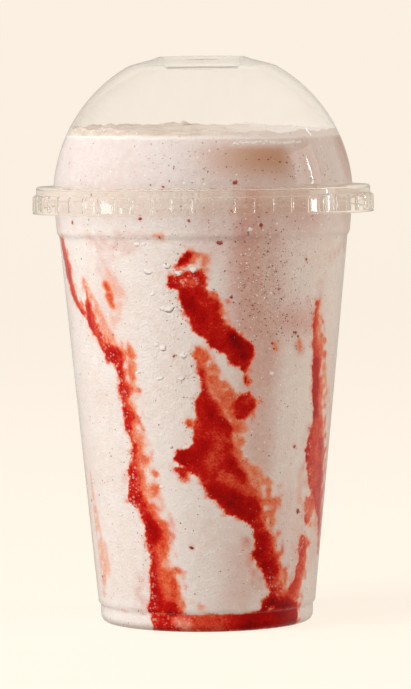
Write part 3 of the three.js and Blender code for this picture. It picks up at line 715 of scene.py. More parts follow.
def tint_field(strokes, soft=2.2):
    """Strengths from 0 to 1 that fade out over the soft width at each stroke's edge."""
    field = np.zeros((ROWS, COLUMNS))
    for strength, stroke in strokes:
        reach = soft_step(stroke_field(stroke), -0.6 * soft, 0.4 * soft)
        field = np.maximum(field, strength * reach)
    return field


def rough_fields():
    """An uneven field in millimetres that makes the sauce's edges ragged, and a patchy one."""
    rough = np.zeros((ROWS, COLUMNS))
    patchy = np.zeros((ROWS, COLUMNS))
    for i in range(ROWS):
        for k in range(COLUMNS):
            spot = wall_spot(TURNS[k], HEIGHTS[i]) / MM
            patchy[i, k] = noise.noise(spot * 0.45 + Vector((40, 0, 0)))
            rough[i, k] = (0.85 * noise.noise(spot * 0.27) + 0.5 * noise.noise(spot * 0.75)
                           + 0.6 * noise.noise(spot * 1.9))
    return rough, np.clip(0.9 + 1.5 * patchy, 0, 1.6)


def read_field(field, turns, heights):
    """The values of a field at any turns and heights."""
    column = ((np.asarray(turns, float) - TURNS[0]) % 360) / 360 * COLUMNS
    row = np.clip((np.asarray(heights, float) - HEIGHTS[0]) / FIELD_TOP * ROWS, 0, ROWS - 1.001)
    i, k = row.astype(int), column.astype(int) % COLUMNS
    di, dk = row - i, column - column.astype(int)
    after = (k + 1) % COLUMNS
    low = field[i, k] * (1 - dk) + field[i, after] * dk
    high = field[i + 1, k] * (1 - dk) + field[i + 1, after] * dk
    return low * (1 - di) + high * di


FIELDS = {}
SHARED_FIELDS = ("amount", "warm", "frost", "pink_and_shade", "shade", "froth")


def add_run(streak, run, rough, patchy):
    """Adds one run of a streak: crisp at its left edge, with a wash that fades out to the right."""
    left, right, wash = run_gaps(run)
    reach = np.maximum(wash - right, 1.2)
    soft = CRISP_EDGE + 0.5 * np.minimum(reach, 3)
    left_share = soft_step((left + rough) / CRISP_EDGE, *EDGE_RISE)
    right_share = soft_step((right + rough) / soft, *EDGE_RISE)
    core = left_share * right_share
    across = np.clip(left / np.maximum(left + right, 0.1), 0, 1) ** 1.5
    spread = left_share * np.clip((wash + 0.45 * rough) / reach, 0, 1)
    halo = soft_step(np.minimum(left, wash) + 1.6 * rough, -2.6, 0.6)
    FIELDS[streak] = np.maximum(FIELDS[streak], np.minimum(left, right) + rough)
    FIELDS["amount"] = np.maximum.reduce([
        FIELDS["amount"], SAUCE_DEPTHS[streak] * core * (1 - 0.17 * across),
        WASH_DEPTH * spread * np.minimum(0.55 * patchy + 0.5, 1), HALO_DEPTH * halo * patchy])
    FIELDS["warm"] = np.maximum.reduce([
        FIELDS["warm"], spread * (1 - core), 0.7 * core * across])


def sauce_gap(turn, height):
    """How far a place on the side lies inside the nearest streak, in millimetres."""
    return max(read_field(FIELDS[name], turn, height) for name in (*SAUCE_RUNS, *BACK_STREAKS))


def make_fields():
    """Works out all the fields that the drink and the sauce share."""
    rough, patchy = rough_fields()
    FIELDS["amount"] = np.zeros((ROWS, COLUMNS))
    FIELDS["warm"] = np.zeros((ROWS, COLUMNS))
    for streak, runs in SAUCE_RUNS.items():
        FIELDS[streak] = np.full((ROWS, COLUMNS), -FAR)
        for run in runs:
            add_run(streak, run, rough, patchy)
    for streak in BACK_STREAKS:
        FIELDS[streak] = outline_field(streak) + rough
        share = soft_step(FIELDS[streak], *EDGE_RISE)
        halo = soft_step(FIELDS[streak], -3, 0.6)
        FIELDS["amount"] = np.maximum.reduce([
            FIELDS["amount"], SAUCE_DEPTHS[streak] * share, BACK_HALO_DEPTH * halo * patchy])
        FIELDS["warm"] = np.maximum(FIELDS["warm"], halo * (1 - share))
    amount = FIELDS["amount"]
    orange = tint_field(ORANGE_TINTS, soft=3.0)
    deep = tint_field(DEEP_STROKES, soft=3.0) - tint_field(THIN_STROKES, soft=3.0)
    amount = amount + deep * soft_step(amount, 0.2, 0.5)
    FIELDS["amount"] = np.maximum(amount, 0.46 * orange * np.minimum(patchy + 0.3, 1))
    FIELDS["warm"] = np.maximum(FIELDS["warm"], orange)
    # Painted shade on all the drink under the lid, in the pink stain's tone
    lid_shade_blush = LID_SHADE_BLUSH * soft_step(HEIGHTS, 112, 124)
    FIELDS["pink_and_shade"] = np.maximum.reduce([
        tint_field(PINK_TINTS, soft=3.5) * patchy, tint_field(BLUSH_TINTS, soft=9.0),
        np.repeat(lid_shade_blush[:, None], COLUMNS, axis=1)])
    FIELDS["pink_and_shade"] = np.maximum(FIELDS["pink_and_shade"], tint_field(
        [(0.5, [(turn, height, size), (turn + 0.3, height, size)])
         for turn, height, size in FRUIT_BITS], soft=1.4))
    # Painted shade in the hollow behind the dome
    hollow = HOLLOW_SHADE * np.outer(window(HEIGHTS, HOLLOW_HEIGHTS),
                                    window(turn_gap(0), HOLLOW_TURNS))
    FIELDS["shade"] = np.maximum(tint_field(SHADE_TINTS, soft=5.0), hollow)
    FIELDS["frost"] = tint_field(FROST_STROKES, soft=2.4)
    line = np.interp(turn_gap(0), *zip(*FROTH_LINE))
    FIELDS["froth"] = soft_step(
        HEIGHTS[:, None] - line[None, :] + 0.3 * rough, -0.35, 0.35)


# Making meshes

def deselect():
    """Leaves nothing selected, so that the next operator acts on its own piece alone."""
    if bpy.context.object and bpy.context.object.mode != "OBJECT":
        bpy.ops.object.mode_set(mode="OBJECT")
    bpy.ops.object.select_all(action="DESELECT")


def only(piece):
    """Makes one piece the selected and active one."""
    deselect()
    piece.select_set(True)
    bpy.context.view_layer.objects.active = piece


def named(name):
    """Names the active piece and its mesh."""
    piece = bpy.context.object
    piece.name = name
    piece.data.name = name
    return piece


def turned(name, line, steps):
    """A line of (radius, height) points in millimetres turned once round the upright axis."""
    deselect()
    bpy.ops.mesh.primitive_plane_add(size=1 * MM)
    piece = named(name)
    bpy.ops.object.mode_set(mode="EDIT")
    bpy.ops.mesh.select_all(action="SELECT")
    bpy.ops.mesh.merge(type="CENTER")
    bpy.ops.transform.translate(value=(line[0].x * MM, 0, line[0].y * MM))
    at = line[0]
    for point in line[1:]:
        move = (point - at) * MM
        bpy.ops.mesh.extrude_region_move(TRANSFORM_OT_translate={"value": (move.x, 0, move.y)})
        at = point
    bpy.ops.mesh.select_all(action="SELECT")
    bpy.ops.mesh.spin(steps=steps, angle=math.tau, center=(0, 0, 0), axis=(0, 0, 1))
    bpy.ops.mesh.select_all(action="SELECT")
    bpy.ops.mesh.remove_doubles(threshold=0.0005 * MM)
    bpy.ops.mesh.normals_make_consistent(inside=False)
    bpy.ops.object.mode_set(mode="OBJECT")
    return piece


def modified(piece, kind, **settings):
    """Adds a modifier with the settings and applies it."""
    only(piece)
    modifier = piece.modifiers.new(kind.title(), kind)
    for key, value in settings.items():
        setattr(modifier, key, value)
    bpy.ops.object.modifier_apply(modifier=modifier.name)


def smooth(piece, angle=None):
    """Shades a piece smooth, or smooth up to an angle in degrees."""
    only(piece)
    if angle is None:
        bpy.ops.object.shade_smooth()
    else:
        bpy.ops.object.shade_smooth_by_angle(angle=math.radians(angle))


def finished(piece, material, slot, *nodes):
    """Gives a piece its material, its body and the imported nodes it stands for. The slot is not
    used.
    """
    piece.data.materials.clear()
    piece.data.materials.append(material)
    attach(piece, BODY)
    if nodes:
        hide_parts(*nodes)


def place_of(point):
    """The turn in degrees and the height in millimetres of a point of a mesh."""
    return math.degrees(math.atan2(point.x, -point.y)), point.z / MM


def add_fields(piece):
    """Stores the shared fields at each point of a piece, for its material to read."""
    turns, heights = np.array([place_of(v.co) for v in piece.data.vertices]).T
    for name in SHARED_FIELDS:
        values = read_field(FIELDS[name], turns, heights)
        stored = piece.data.attributes.new(name, "FLOAT", "POINT")
        stored.data.foreach_set("value", values.astype(np.float32))


def scattered(name, placings, rings=3, segments=8, ragged=0.0):
    """One piece of many small pips, each a rounded form under its own placing matrix."""
    deselect()
    bpy.ops.mesh.primitive_uv_sphere_add(segments=segments, ring_count=rings + 1, radius=1)
    pip = bpy.context.object
    points = np.array([v.co for v in pip.data.vertices])
    faces = [tuple(p.vertices) for p in pip.data.polygons]
    bpy.data.objects.remove(pip)
    all_points = []
    all_faces = []
    for placing in placings:
        base = len(all_points)
        turn = np.array(placing.to_3x3())
        shape = points
        if ragged:
            spot = placing.translation / MM
            shape = points * np.array([[1 + ragged * noise.noise(Vector(p) * 1.6 + spot)]
                                       for p in points])
        all_points.extend(shape @ turn.T + np.array(placing.translation))
        all_faces.extend(tuple(base + i for i in face) for face in faces)
    mesh = bpy.data.meshes.new(name)
    mesh.from_pydata(all_points, [], all_faces)
    piece = bpy.data.objects.new(name, mesh)
    bpy.context.scene.collection.objects.link(piece)
    smooth(piece)
    return piece


def crowded(chance, crowds):
    """Random places on the side, as turns and heights, gathered in crowds."""
    for turn, height, wide, tall, count in crowds:
        for _ in range(count):
            spot = (chance.gauss(turn, wide), chance.gauss(height, tall))
            if CROWD_SPAN[0] < spot[1] < CROWD_SPAN[1]:
                yield spot


def mostly_small(chance, least, extra, power):
    """A random size, more often near the least the higher the power."""
    return least + extra * chance.random() ** power


def pip_placing(turn, height, lift, wide, tall, thick, roll=0.0):
    """Where one pip lies on the side: its size along the wall, up it and out of it."""
    out = Vector((math.sin(math.radians(turn)), -math.cos(math.radians(turn)), 0))
    up = Vector((0, 0, 1))
    along = up.cross(out)
    basis = Matrix((along, up, out)).transposed()
    sizes = Matrix.Diagonal((wide * MM, tall * MM, thick * MM))
    placing = (basis @ Matrix.Rotation(roll, 3, "Z") @ sizes).to_4x4()
    placing.translation = wall_spot(turn, height, lift)
    return placing


def loose_pip(chance, turn, height, lift, wide, tall, thick):
    """Where a pip lies that is turned at random."""
    return pip_placing(turn, height, lift, wide, tall, thick, chance.uniform(0, 3))


# Materials

def new_group(name, inputs, outputs):
    """An empty shader node group with named sockets, its nodes, links and ends."""
    group = bpy.data.node_groups.new(name, "ShaderNodeTree")
    for kind, label, value in inputs:
        socket = group.interface.new_socket(label, in_out="INPUT", socket_type=kind)
        socket.default_value = value
    for kind, label in outputs:
        group.interface.new_socket(label, in_out="OUTPUT", socket_type=kind)
    return group, group.nodes.new("NodeGroupInput"), group.nodes.new("NodeGroupOutput")


def node(tree, kind, inputs=(), **settings):
    """One node with its settings, and its inputs set or linked by name or place."""
    made = tree.nodes.new(kind)
    for key, value in settings.items():
        setattr(made, key, value)
    for key, value in dict(inputs).items():
        socket = made.inputs[key]
        if isinstance(value, bpy.types.NodeSocket):
            tree.links.new(value, socket)
        else:
            socket.default_value = value
    return made


def object_place(tree):
    """The place on the piece, in metres."""
    return node(tree, "ShaderNodeTexCoord").outputs["Object"]


def mixed(tree, share, first, second, blend="MIX"):
    """Two colours mixed by a share."""
    made = node(tree, "ShaderNodeMix", {0: share, 6: first, 7: second},
                data_type="RGBA", blend_type=blend)
    return made.outputs[2]


def ranged(tree, value, low, high, to_low=0.0, to_high=1.0):
    """A value moved from one range to another, with smooth ends."""
    made = node(tree, "ShaderNodeMapRange", {
        "Value": value, "From Min": low, "From Max": high, "To Min": to_low, "To Max": to_high,
    }, interpolation_type="SMOOTHSTEP")
    return made.outputs["Result"]


def maths(tree, operation, *values):
    """A sum or other operation on numbers."""
    return node(tree, "ShaderNodeMath", dict(enumerate(values)), operation=operation).outputs[0]


def noise_at(tree, place, scale, detail=2.0, roughness=0.5):
    """Noise round 0, from about -0.5 to 0.5."""
    wide = node(tree, "ShaderNodeTexNoise", {
        "Vector": place, "Scale": scale, "Detail": detail, "Roughness": roughness,
    }).outputs["Fac"]
    return maths(tree, "SUBTRACT", wide, 0.5)


def speck_group():
    """Small round specks, one at most in each cell: a mask from 0 to 1."""
    group, start, end = new_group(
        "Specks",
        [("NodeSocketFloat", "Cells", 400.0), ("NodeSocketFloat", "Share", 0.5),
         ("NodeSocketFloat", "Size", 0.2)],
        [("NodeSocketFloat", "Mask")],
    )
    place = object_place(group)
    cells = node(group, "ShaderNodeTexVoronoi", {
        "Vector": place, "Scale": start.outputs["Cells"],
    })
    chance = node(group, "ShaderNodeSeparateColor", {0: cells.outputs["Color"]})
    kept = maths(group, "LESS_THAN", chance.outputs[0], start.outputs["Share"])
    reach = maths(group, "MULTIPLY", start.outputs["Size"],
                  maths(group, "ADD", chance.outputs[1], 0.4))
    inner = maths(group, "MULTIPLY", reach, 0.6)
    round_spot = ranged(group, cells.outputs["Distance"], inner, reach, 1.0, 0.0)
    group.links.new(maths(group, "MULTIPLY", kept, round_spot), end.inputs["Mask"])
    return group


def tone_ramp(tree, value, steps):
    """A colour that changes along named tones as a value rises from 0 to 1."""
    made = node(tree, "ShaderNodeValToRGB", {"Fac": value})
    elements = made.color_ramp.elements
    while len(elements) < len(steps):
        elements.new(0.5)
    for element, (position, tone) in zip(elements, steps):
        element.position = position
        element.color = (*tone, 1)
    return made.outputs["Color"]


def sauce_tone_group(colours):
    """Sauce from thin to thick: its colour, how much it covers, and its grain's height."""
    group, start, end = new_group(
        "Sauce tone",
        [("NodeSocketFloat", "Amount", 0.5), ("NodeSocketFloat", "Warmth", 0.0),
         ("NodeSocketFloat", "Frost", 0.0)],
        [("NodeSocketColor", "Colour"), ("NodeSocketFloat", "Cover"),
         ("NodeSocketFloat", "Height")],
    )
    place = object_place(group)
    amount = start.outputs["Amount"]
    broad = maths(group, "MULTIPLY", noise_at(group, place, 210.0), 0.38)
    middle = maths(group, "MULTIPLY", noise_at(group, place, 620.0), 0.26)
    fine = maths(group, "MULTIPLY", noise_at(group, place, 1700.0), 0.36)
    uneven = maths(group, "ADD", maths(group, "ADD", broad, middle), fine)
    gate = ranged(group, amount, 0.02, 0.6)
    thick = maths(group, "ADD", amount, maths(group, "MULTIPLY", uneven, gate))
    full = ((0.62, colours.sauce), (0.76, colours.deep_sauce), (0.9, colours.dark_sauce),
            (1.0, colours.clot))
    cold = tone_ramp(group, thick, ((0.12, colours.pink_smear), (0.3, colours.rosy_sauce),
                                    (0.45, colours.light_sauce), *full))
    warm = tone_ramp(group, thick, ((0.1, colours.thin_sauce), (0.26, colours.orange_sauce),
                                    (0.45, colours.warm_sauce), *full))
    hue = ranged(group, noise_at(group, place, 150.0), -0.5, 0.5, -0.25, 0.85)
    hue = node(group, "ShaderNodeMath", {0: start.outputs["Warmth"], 1: hue}, operation="ADD",
               use_clamp=True).outputs[0]
    colour = mixed(group, hue, cold, warm)
    grains = placed(group, "specks", {"Cells": 1300.0, "Share": 0.45, "Size": 0.6})
    frost = maths(group, "MULTIPLY", grains.outputs["Mask"], start.outputs["Frost"])
    colour = mixed(group, frost, colour, (*colours.frost, 1))
    group.links.new(colour, end.inputs["Colour"])
    group.links.new(ranged(group, thick, 0.03, 0.36), end.inputs["Cover"])
    group.links.new(maths(group, "ADD", middle, fine), end.inputs["Height"])
    return group


def milk_tone_group(colours):
    """Thick milkshake: soft clouds of two creams with icy mottling, and the mottling's height."""
    group, start, end = new_group(
        "Milk tone",
        [("NodeSocketFloat", "Cloud scale", 60.0), ("NodeSocketFloat", "Mottling", 1.0)],
        [("NodeSocketColor", "Colour"), ("NodeSocketFloat", "Height")],
    )
    place = object_place(group)
    clouds = noise_at(group, place, start.outputs["Cloud scale"], 3.0)
    cream = mixed(group, ranged(group, clouds, -0.15, 0.18), (*colours.cream, 1),
                  (*colours.rosy_cream, 1))
    icy = maths(group, "ADD", noise_at(group, place, 420.0),
                noise_at(group, place, 1500.0, 2.0, 0.6))
    strength = maths(group, "MULTIPLY", icy, start.outputs["Mottling"])
    share = ranged(group, strength, 0.0, 0.35, 0.0, 0.55)
    cream = mixed(group, share, cream, (*colours.ice_and_painted_light, 1))
    # The mottling's dark side is painted shade in the hollows between the icy grains
    share = ranged(group, strength, 0.0, -0.35, 0.0, 0.35)
    cream = mixed(group, share, cream, (*colours.milk_shadow, 1))
    group.links.new(cream, end.inputs["Colour"])
    group.links.new(icy, end.inputs["Height"])
    return group


def plastic_group():
    """Thin formed plastic: faint waves in its surface and slightly uneven gloss."""
    group, start, end = new_group(
        "Formed plastic",
        [("NodeSocketFloat", "Wave scale", 40.0), ("NodeSocketFloat", "Gloss", 0.03)],
        [("NodeSocketFloat", "Roughness"), ("NodeSocketFloat", "Height")],
    )
    place = object_place(group)
    waves = noise_at(group, place, start.outputs["Wave scale"])
    haze = noise_at(group, place, 900.0, 3.0)
    extra = ranged(group, haze, -0.1, 0.25, 0.0, 0.04)
    group.links.new(maths(group, "ADD", start.outputs["Gloss"], extra), end.inputs["Roughness"])
    group.links.new(waves, end.inputs["Height"])
    return group


GROUPS = {}


def make_groups(colours):
    """Builds each shader group that several materials share."""
    GROUPS["specks"] = speck_group()
    GROUPS["sauce"] = sauce_tone_group(colours)
    GROUPS["milk"] = milk_tone_group(colours)
    GROUPS["plastic"] = plastic_group()


def placed(tree, group, inputs=()):
    """One of the shared groups, placed in a material with its own values."""
    return node(tree, "ShaderNodeGroup", inputs, node_tree=GROUPS[group])


def new_material(name, **constants):
    """A material with a Principled shader whose plain sockets are set."""
    material = bpy.data.materials.new(name)
    material.use_nodes = True
    tree = material.node_tree
    shader = tree.nodes["Principled BSDF"]
    for key, value in constants.items():
        shader.inputs[key.replace("_", " ")].default_value = value
    return material, tree, shader


def add_relief(tree, shader, strength, depth, height):
    """Gives a shader relief of a depth in millimetres."""
    bump = node(tree, "ShaderNodeBump", {
        "Strength": strength, "Distance": depth * MM, "Height": height,
    })
    tree.links.new(bump.outputs["Normal"], shader.inputs["Normal"])


def let_light_through(tree, shader):
    """Lets light on its way to or from what lies inside, or lost in a wall, pass through."""
    through = node(tree, "ShaderNodeBsdfTransparent")
    path = node(tree, "ShaderNodeLightPath")
    lost = maths(tree, "GREATER_THAN", path.outputs["Ray Depth"], MOST_SURFACES + 0.5)
    passing = maths(tree, "MAXIMUM", path.outputs["Is Shadow Ray"],
                    path.outputs["Is Diffuse Ray"])
    passing = maths(tree, "MAXIMUM", passing, lost)
    either = node(tree, "ShaderNodeMixShader", {
        0: passing, 1: shader.outputs[0], 2: through.outputs[0],
    })
    tree.links.new(either.outputs[0], tree.nodes["Material Output"].inputs["Surface"])


def clear_plastic(name, wave_scale, gloss, wave_depth, shine, cream_top=None):
    """Clear plastic that lets light through, creamier below a height where walls double up."""
    material, tree, shader = new_material(
        name, Base_Color=(1, 1, 1, 1), Metallic=0.0, IOR=1.45, Transmission_Weight=1.0,
        Specular_IOR_Level=shine)
    skin = placed(tree, "plastic", {"Wave scale": wave_scale, "Gloss": gloss})
    tree.links.new(skin.outputs["Roughness"], shader.inputs["Roughness"])
    add_relief(tree, shader, wave_depth, 0.4, skin.outputs["Height"])
    if cream_top:
        height = node(tree, "ShaderNodeSeparateXYZ", {0: object_place(tree)}).outputs["Z"]
        share = ranged(tree, height, cream_top * MM, (cream_top + LID_CREAM_FADE) * MM)
        tree.links.new(mixed(tree, share, (*LID_CREAM, 1), (1, 1, 1, 1)),
                       shader.inputs["Base Color"])
    let_light_through(tree, shader)
    return material


def attribute(tree, name):
    """One of a piece's own values."""
    return node(tree, "ShaderNodeAttribute", attribute_name=name).outputs["Fac"]


def froth_with_painted_light(tree, place, across):
    """The froth along the dome: flat streaks of froth and painted shadow between its bubbles, paler
    towards the right with painted light.
    """
    colours = bpy.context.scene.milkshake_colours
    flat = node(tree, "ShaderNodeMapping", {"Vector": place, "Scale": (1, 1, 4)}).outputs[0]
    streaky = ranged(tree, noise_at(tree, flat, 170.0, 4.0), -0.12, 0.14)
    froth = mixed(tree, streaky, (*colours.froth_shadow, 1), (*colours.froth, 1))
    # Painted light: the froth grows paler towards the right
    side = ranged(tree, across, -0.01, 0.03, 0, 0.8)
    return mixed(tree, side, froth, (*colours.ice_and_painted_light, 1))


def milk_with_sauce(tree):
    """The drink's colour with its stains and its sauce, and the height of the grain."""
    milk = placed(tree, "milk", {"Cloud scale": 55.0, "Mottling": 1.0})
    colours = bpy.context.scene.milkshake_colours
    place = object_place(tree)
    way = node(tree, "ShaderNodeSeparateXYZ", {0: place})
    # Painted shade: the drink darkens under the lid
    lid_shade_share = ranged(tree, way.outputs["Z"], SHOULDER_LOW * MM, GRIP_LOW * MM)
    colour = mixed(tree, lid_shade_share, milk.outputs["Colour"], (*UNDER_LID_SHADE, 1), "MULTIPLY")
    # Pink stains and rose-brown tints, with painted shade under the lid in the stain's tone
    blotches = maths(tree, "MULTIPLY", noise_at(tree, place, 800.0, 3.0), 1.2)
    pink_and_shade = maths(tree, "MULTIPLY", attribute(tree, "pink_and_shade"), maths(tree, "ADD", blotches, 1.0))
    colour = mixed(tree, maths(tree, "MAXIMUM", pink_and_shade, 0.0), colour, (*colours.pink_stain, 1))
    # Painted shade: the band between the lamps' light, the far right under the dome and the hollow
    colour = mixed(tree, attribute(tree, "shade"), colour, (*colours.shade, 1))
    foam = attribute(tree, "froth")
    colour = mixed(tree, foam, colour, froth_with_painted_light(tree, place, way.outputs["X"]))
    border = maths(tree, "MULTIPLY", foam, maths(tree, "SUBTRACT", 1.0, foam))
    colour = mixed(tree, maths(tree, "MULTIPLY", border, 3.0), colour, (*colours.ice_and_painted_light, 1))
    # Fine specks of seed, berry and stain, and pale specks that are ice grains and painted glints
    for cells, share, size, tone in (
            (380.0, 0.2, 0.09, colours.dark_seed), (640.0, 0.14, 0.12, colours.berry_speck),
            (900.0, 0.1, 0.2, colours.pink_stain), (520.0, 0.3, 0.16, colours.ice_and_painted_light)):
        specks = placed(tree, "specks", {"Cells": cells, "Share": share, "Size": size})
        colour = mixed(tree, specks.outputs["Mask"], colour, (*tone, 1))
    sauce = placed(tree, "sauce", {
        "Amount": attribute(tree, "amount"), "Warmth": attribute(tree, "warm"),
        "Frost": attribute(tree, "frost"),
    })
    colour = mixed(tree, sauce.outputs["Cover"], colour, sauce.outputs["Colour"])
    height = maths(tree, "ADD", milk.outputs["Height"], sauce.outputs["Height"])
    return colour, height


def drink_material():
    """Thick milkshake, tinted where thin sauce has run through it."""
    material, tree, shader = new_material(
        "milkshake", Metallic=0.0, Roughness=0.5, Specular_IOR_Level=0.06,
        Subsurface_Weight=0.08, Subsurface_Scale=0.0015, Subsurface_Radius=(1.0, 0.6, 0.45))
    colour, height = milk_with_sauce(tree)
    tree.links.new(colour, shader.inputs["Base Color"])
    add_relief(tree, shader, 0.5, 0.4, height)
    return material


def sauce_material():
    """Strawberry sauce, from a thin orange smear to a deep red run."""
    material, tree, shader = new_material(
        "strawberry_sauce", Metallic=0.0, Roughness=0.35, Specular_IOR_Level=0.05)
    colour, height = milk_with_sauce(tree)
    tree.links.new(colour, shader.inputs["Base Color"])
    add_relief(tree, shader, 0.3, 0.3, height)
    return material


def speck_material(name, light, dark, roughness):
    """Small bits of fruit or seed, mottled between two tones."""
    material, tree, shader = new_material(
        name, Metallic=0.0, Roughness=roughness, Specular_IOR_Level=0.2)
    mottle = noise_at(tree, object_place(tree), 1700.0)
    tree.links.new(mixed(tree, ranged(tree, mottle, -0.2, 0.2), (*dark, 1), (*light, 1)),
                   shader.inputs["Base Color"])
    return material


def bubble_material():
    """Milky skin of a bubble against the wall."""
    material, tree, shader = new_material(
        "milky_bubble", Metallic=0.0, Roughness=0.2, Specular_IOR_Level=0.3)
    milk = placed(tree, "milk", {"Cloud scale": 90.0, "Mottling": 0.6})
    ice_and_painted_light = bpy.context.scene.milkshake_colours.ice_and_painted_light
    tree.links.new(mixed(tree, 0.7, milk.outputs["Colour"], (*ice_and_painted_light, 1)),
                   shader.inputs["Base Color"])
    return material


def water_material():
    """Clear water drops."""
    material, tree, shader = new_material(
        "water", Base_Color=(1, 1, 1, 1), Metallic=0.0, IOR=1.33, Transmission_Weight=1.0)
    skin = placed(tree, "plastic", {"Wave scale": 900.0, "Gloss": 0.01})
    tree.links.new(skin.outputs["Roughness"], shader.inputs["Roughness"])
    let_light_through(tree, shader)
    return material


# What a user would change

def colour_property(name, description, default):
    """A colour that a user can change."""
    return bpy.props.FloatVectorProperty(
        name=name, description=description, subtype="COLOR", min=0, max=1, default=default)


class MilkshakeSizes(bpy.types.PropertyGroup):
    """Sizes that a user would change."""

    camera_height: bpy.props.FloatProperty(
        name="Camera height", description="Height of the camera above the surface",
        default=0.152, unit="LENGTH")
    camera_away: bpy.props.FloatProperty(
        name="Camera distance", description="How far the camera stands in front of the axis",
        default=1.15, unit="LENGTH")
    camera_side: bpy.props.FloatProperty(
        name="Camera to the side", description="How far the camera stands to the right",
        default=0.0003, unit="LENGTH")
    camera_pitch: bpy.props.FloatProperty(
        name="Camera pitch", description="How far the camera looks down",
        default=math.radians(3.4166), subtype="ANGLE")
    camera_roll: bpy.props.FloatProperty(
        name="Camera roll", description="How far the camera is turned about its own axis",
        default=math.radians(-0.55), subtype="ANGLE")
    lens: bpy.props.FloatProperty(
        name="Lens", description="Focal length on a 36 mm sensor", default=199.3,
        unit="CAMERA")
    seeds: bpy.props.IntProperty(
        name="Seed specks", description="How many seed specks show", default=900, min=0)
    drops: bpy.props.IntProperty(
        name="Water drops", description="How many drops lie on the outside of the cup",
        default=420, min=0)
    sauce_thickness: bpy.props.FloatProperty(
        name="Sauce thickness", description="How deep a streak goes into the drink",
        default=0.0022, unit="LENGTH")


class MilkshakeColours(bpy.types.PropertyGroup):
    """Colours that a user would change."""

    cream: colour_property("Cream", "The drink's lightest tone", (0.89, 0.845, 0.8))
    rosy_cream: colour_property("Rosy cream", "The drink's rosier tone", (0.87, 0.79, 0.74))
    # Pale ice grains, also painted glints in the drink and painted light in the froth
    ice_and_painted_light: colour_property("Ice", "Icy grains in the drink", (0.96, 0.93, 0.9))
    # Painted shade in the hollows between icy grains
    milk_shadow: colour_property("Milk shadow", "Hollows between icy grains", (0.77, 0.67, 0.6))
    froth: colour_property("Froth", "The froth along the dome", (0.78, 0.7, 0.61))
    # Painted shadow between the froth's bubbles
    froth_shadow: colour_property("Froth shadow", "Between the froth's bubbles", (0.66, 0.57, 0.48))
    frost: colour_property("Frost", "Icy grains in the sauce", (0.88, 0.64, 0.57))
    thin_sauce: colour_property("Thin sauce", "Warm sauce spread thin", (0.92, 0.6, 0.44))
    orange_sauce: colour_property("Orange sauce", "Sauce at a soft edge", (0.89, 0.33, 0.17))
    warm_sauce: colour_property("Warm sauce", "Sauce between orange and red", (0.78, 0.11, 0.04))
    pink_smear: colour_property("Pink smear", "Cold sauce spread thin", (0.86, 0.5, 0.45))
    rosy_sauce: colour_property("Rosy sauce", "Cold sauce of a light streak", (0.82, 0.22, 0.155))
    light_sauce: colour_property("Light sauce", "Sauce of a light streak", (0.73, 0.08, 0.042))
    sauce: colour_property("Sauce", "Sauce of a full streak", (0.57, 0.01, 0.005))
    deep_sauce: colour_property("Deep sauce", "Sauce at its thickest", (0.43, 0.002, 0.001))
    dark_sauce: colour_property("Dark sauce", "Sauce in dark clots", (0.26, 0.002, 0.002))
    clot: colour_property("Clot", "The darkest clots of sauce", (0.12, 0.002, 0.003))
    pink_stain: colour_property("Pink stain", "Drink stained by berry juice", (0.68, 0.31, 0.26))
    berry_speck: colour_property("Berry speck", "Fine specks of berry", (0.4, 0.17, 0.15))
    fruit: colour_property("Fruit", "The bits of fruit", (0.5, 0.12, 0.11))
    dark_fruit: colour_property("Dark fruit", "Skin of the bits of fruit", (0.3, 0.04, 0.05))
    berry_skin: colour_property("Berry skin", "Dark specks of berry skin", (0.4, 0.19, 0.15))
    seed: colour_property("Seed", "Seed specks", (0.36, 0.24, 0.14))
    dark_seed: colour_property("Dark seed", "The seed specks' dark sides", (0.2, 0.12, 0.08))
    # Painted shade: the tone the drink is darkened to between the lamps' light, at the far right
    # and in the hollow behind the dome
    shade: colour_property("Shade", "Drink that stands back from the wall", (0.56, 0.32, 0.2))
    backdrop: colour_property("Backdrop", "The floor and the backdrop", (0.98, 0.9, 0.79))


# Operators

class MILKSHAKE_OT_cup(bpy.types.Operator):
    """Make the clear cup"""

    bl_idname = "milkshake.cup"
    bl_label = "Cup"

    def execute(self, context):
        cup = turned("clear_cup", cup_line(), CUP_COLUMNS)
        smooth(cup, 40)
        finished(cup, clear_plastic("cup_plastic", 30.0, 0.02, 0.06, 0.1), "cup_plastic", "cup")
        return {"FINISHED"}


def form_grips(lid):
    """Forms the ribs of the lid's skirt outwards, with half of the mesh's columns on them."""
    for vertex in lid.data.vertices:
        turn, height = place_of(vertex.co)
        radius = math.hypot(vertex.co.x, vertex.co.y) / MM
        across = (turn * GRIPS / 360) % 1 - 0.5
        gathered = np.interp(abs(across), (0, 0.25, 0.5), (0, GRIP_SHARE, 0.5))
        shift = math.radians((math.copysign(gathered, across) - across) * 360 / GRIPS)
        rise = 1
        if GRIP_LOW - 0.01 < height < GRIP_HIGH + 0.01 and radius > LEDGE_RADIUS - 0.3:
            bump = math.cos(min(gathered / GRIP_SHARE, 1) * math.pi) * 0.5 + 0.5
            rise += GRIP_RISE * bump / radius
        vertex.co = Matrix.Rotation(shift, 3, "Z") @ Vector(
            (vertex.co.x * rise, vertex.co.y * rise, vertex.co.z))


class MILKSHAKE_OT_lid(bpy.types.Operator):
    """Make the clear dome lid with the ribs of its skirt"""

    bl_idname = "milkshake.lid"
    bl_label = "Dome lid"

    def execute(self, context):
        lid = turned("clear_dome_lid", lid_line(), GRIPS * GRIP_COLUMNS)
        form_grips(lid)
        smooth(lid, 35)
        plastic = clear_plastic("lid_plastic", 45.0, 0.015, 0.05, 0.3, cream_top=LEDGE_TOP)
        finished(lid, plastic, "lid_plastic", "dome_lid")
        return {"FINISHED"}


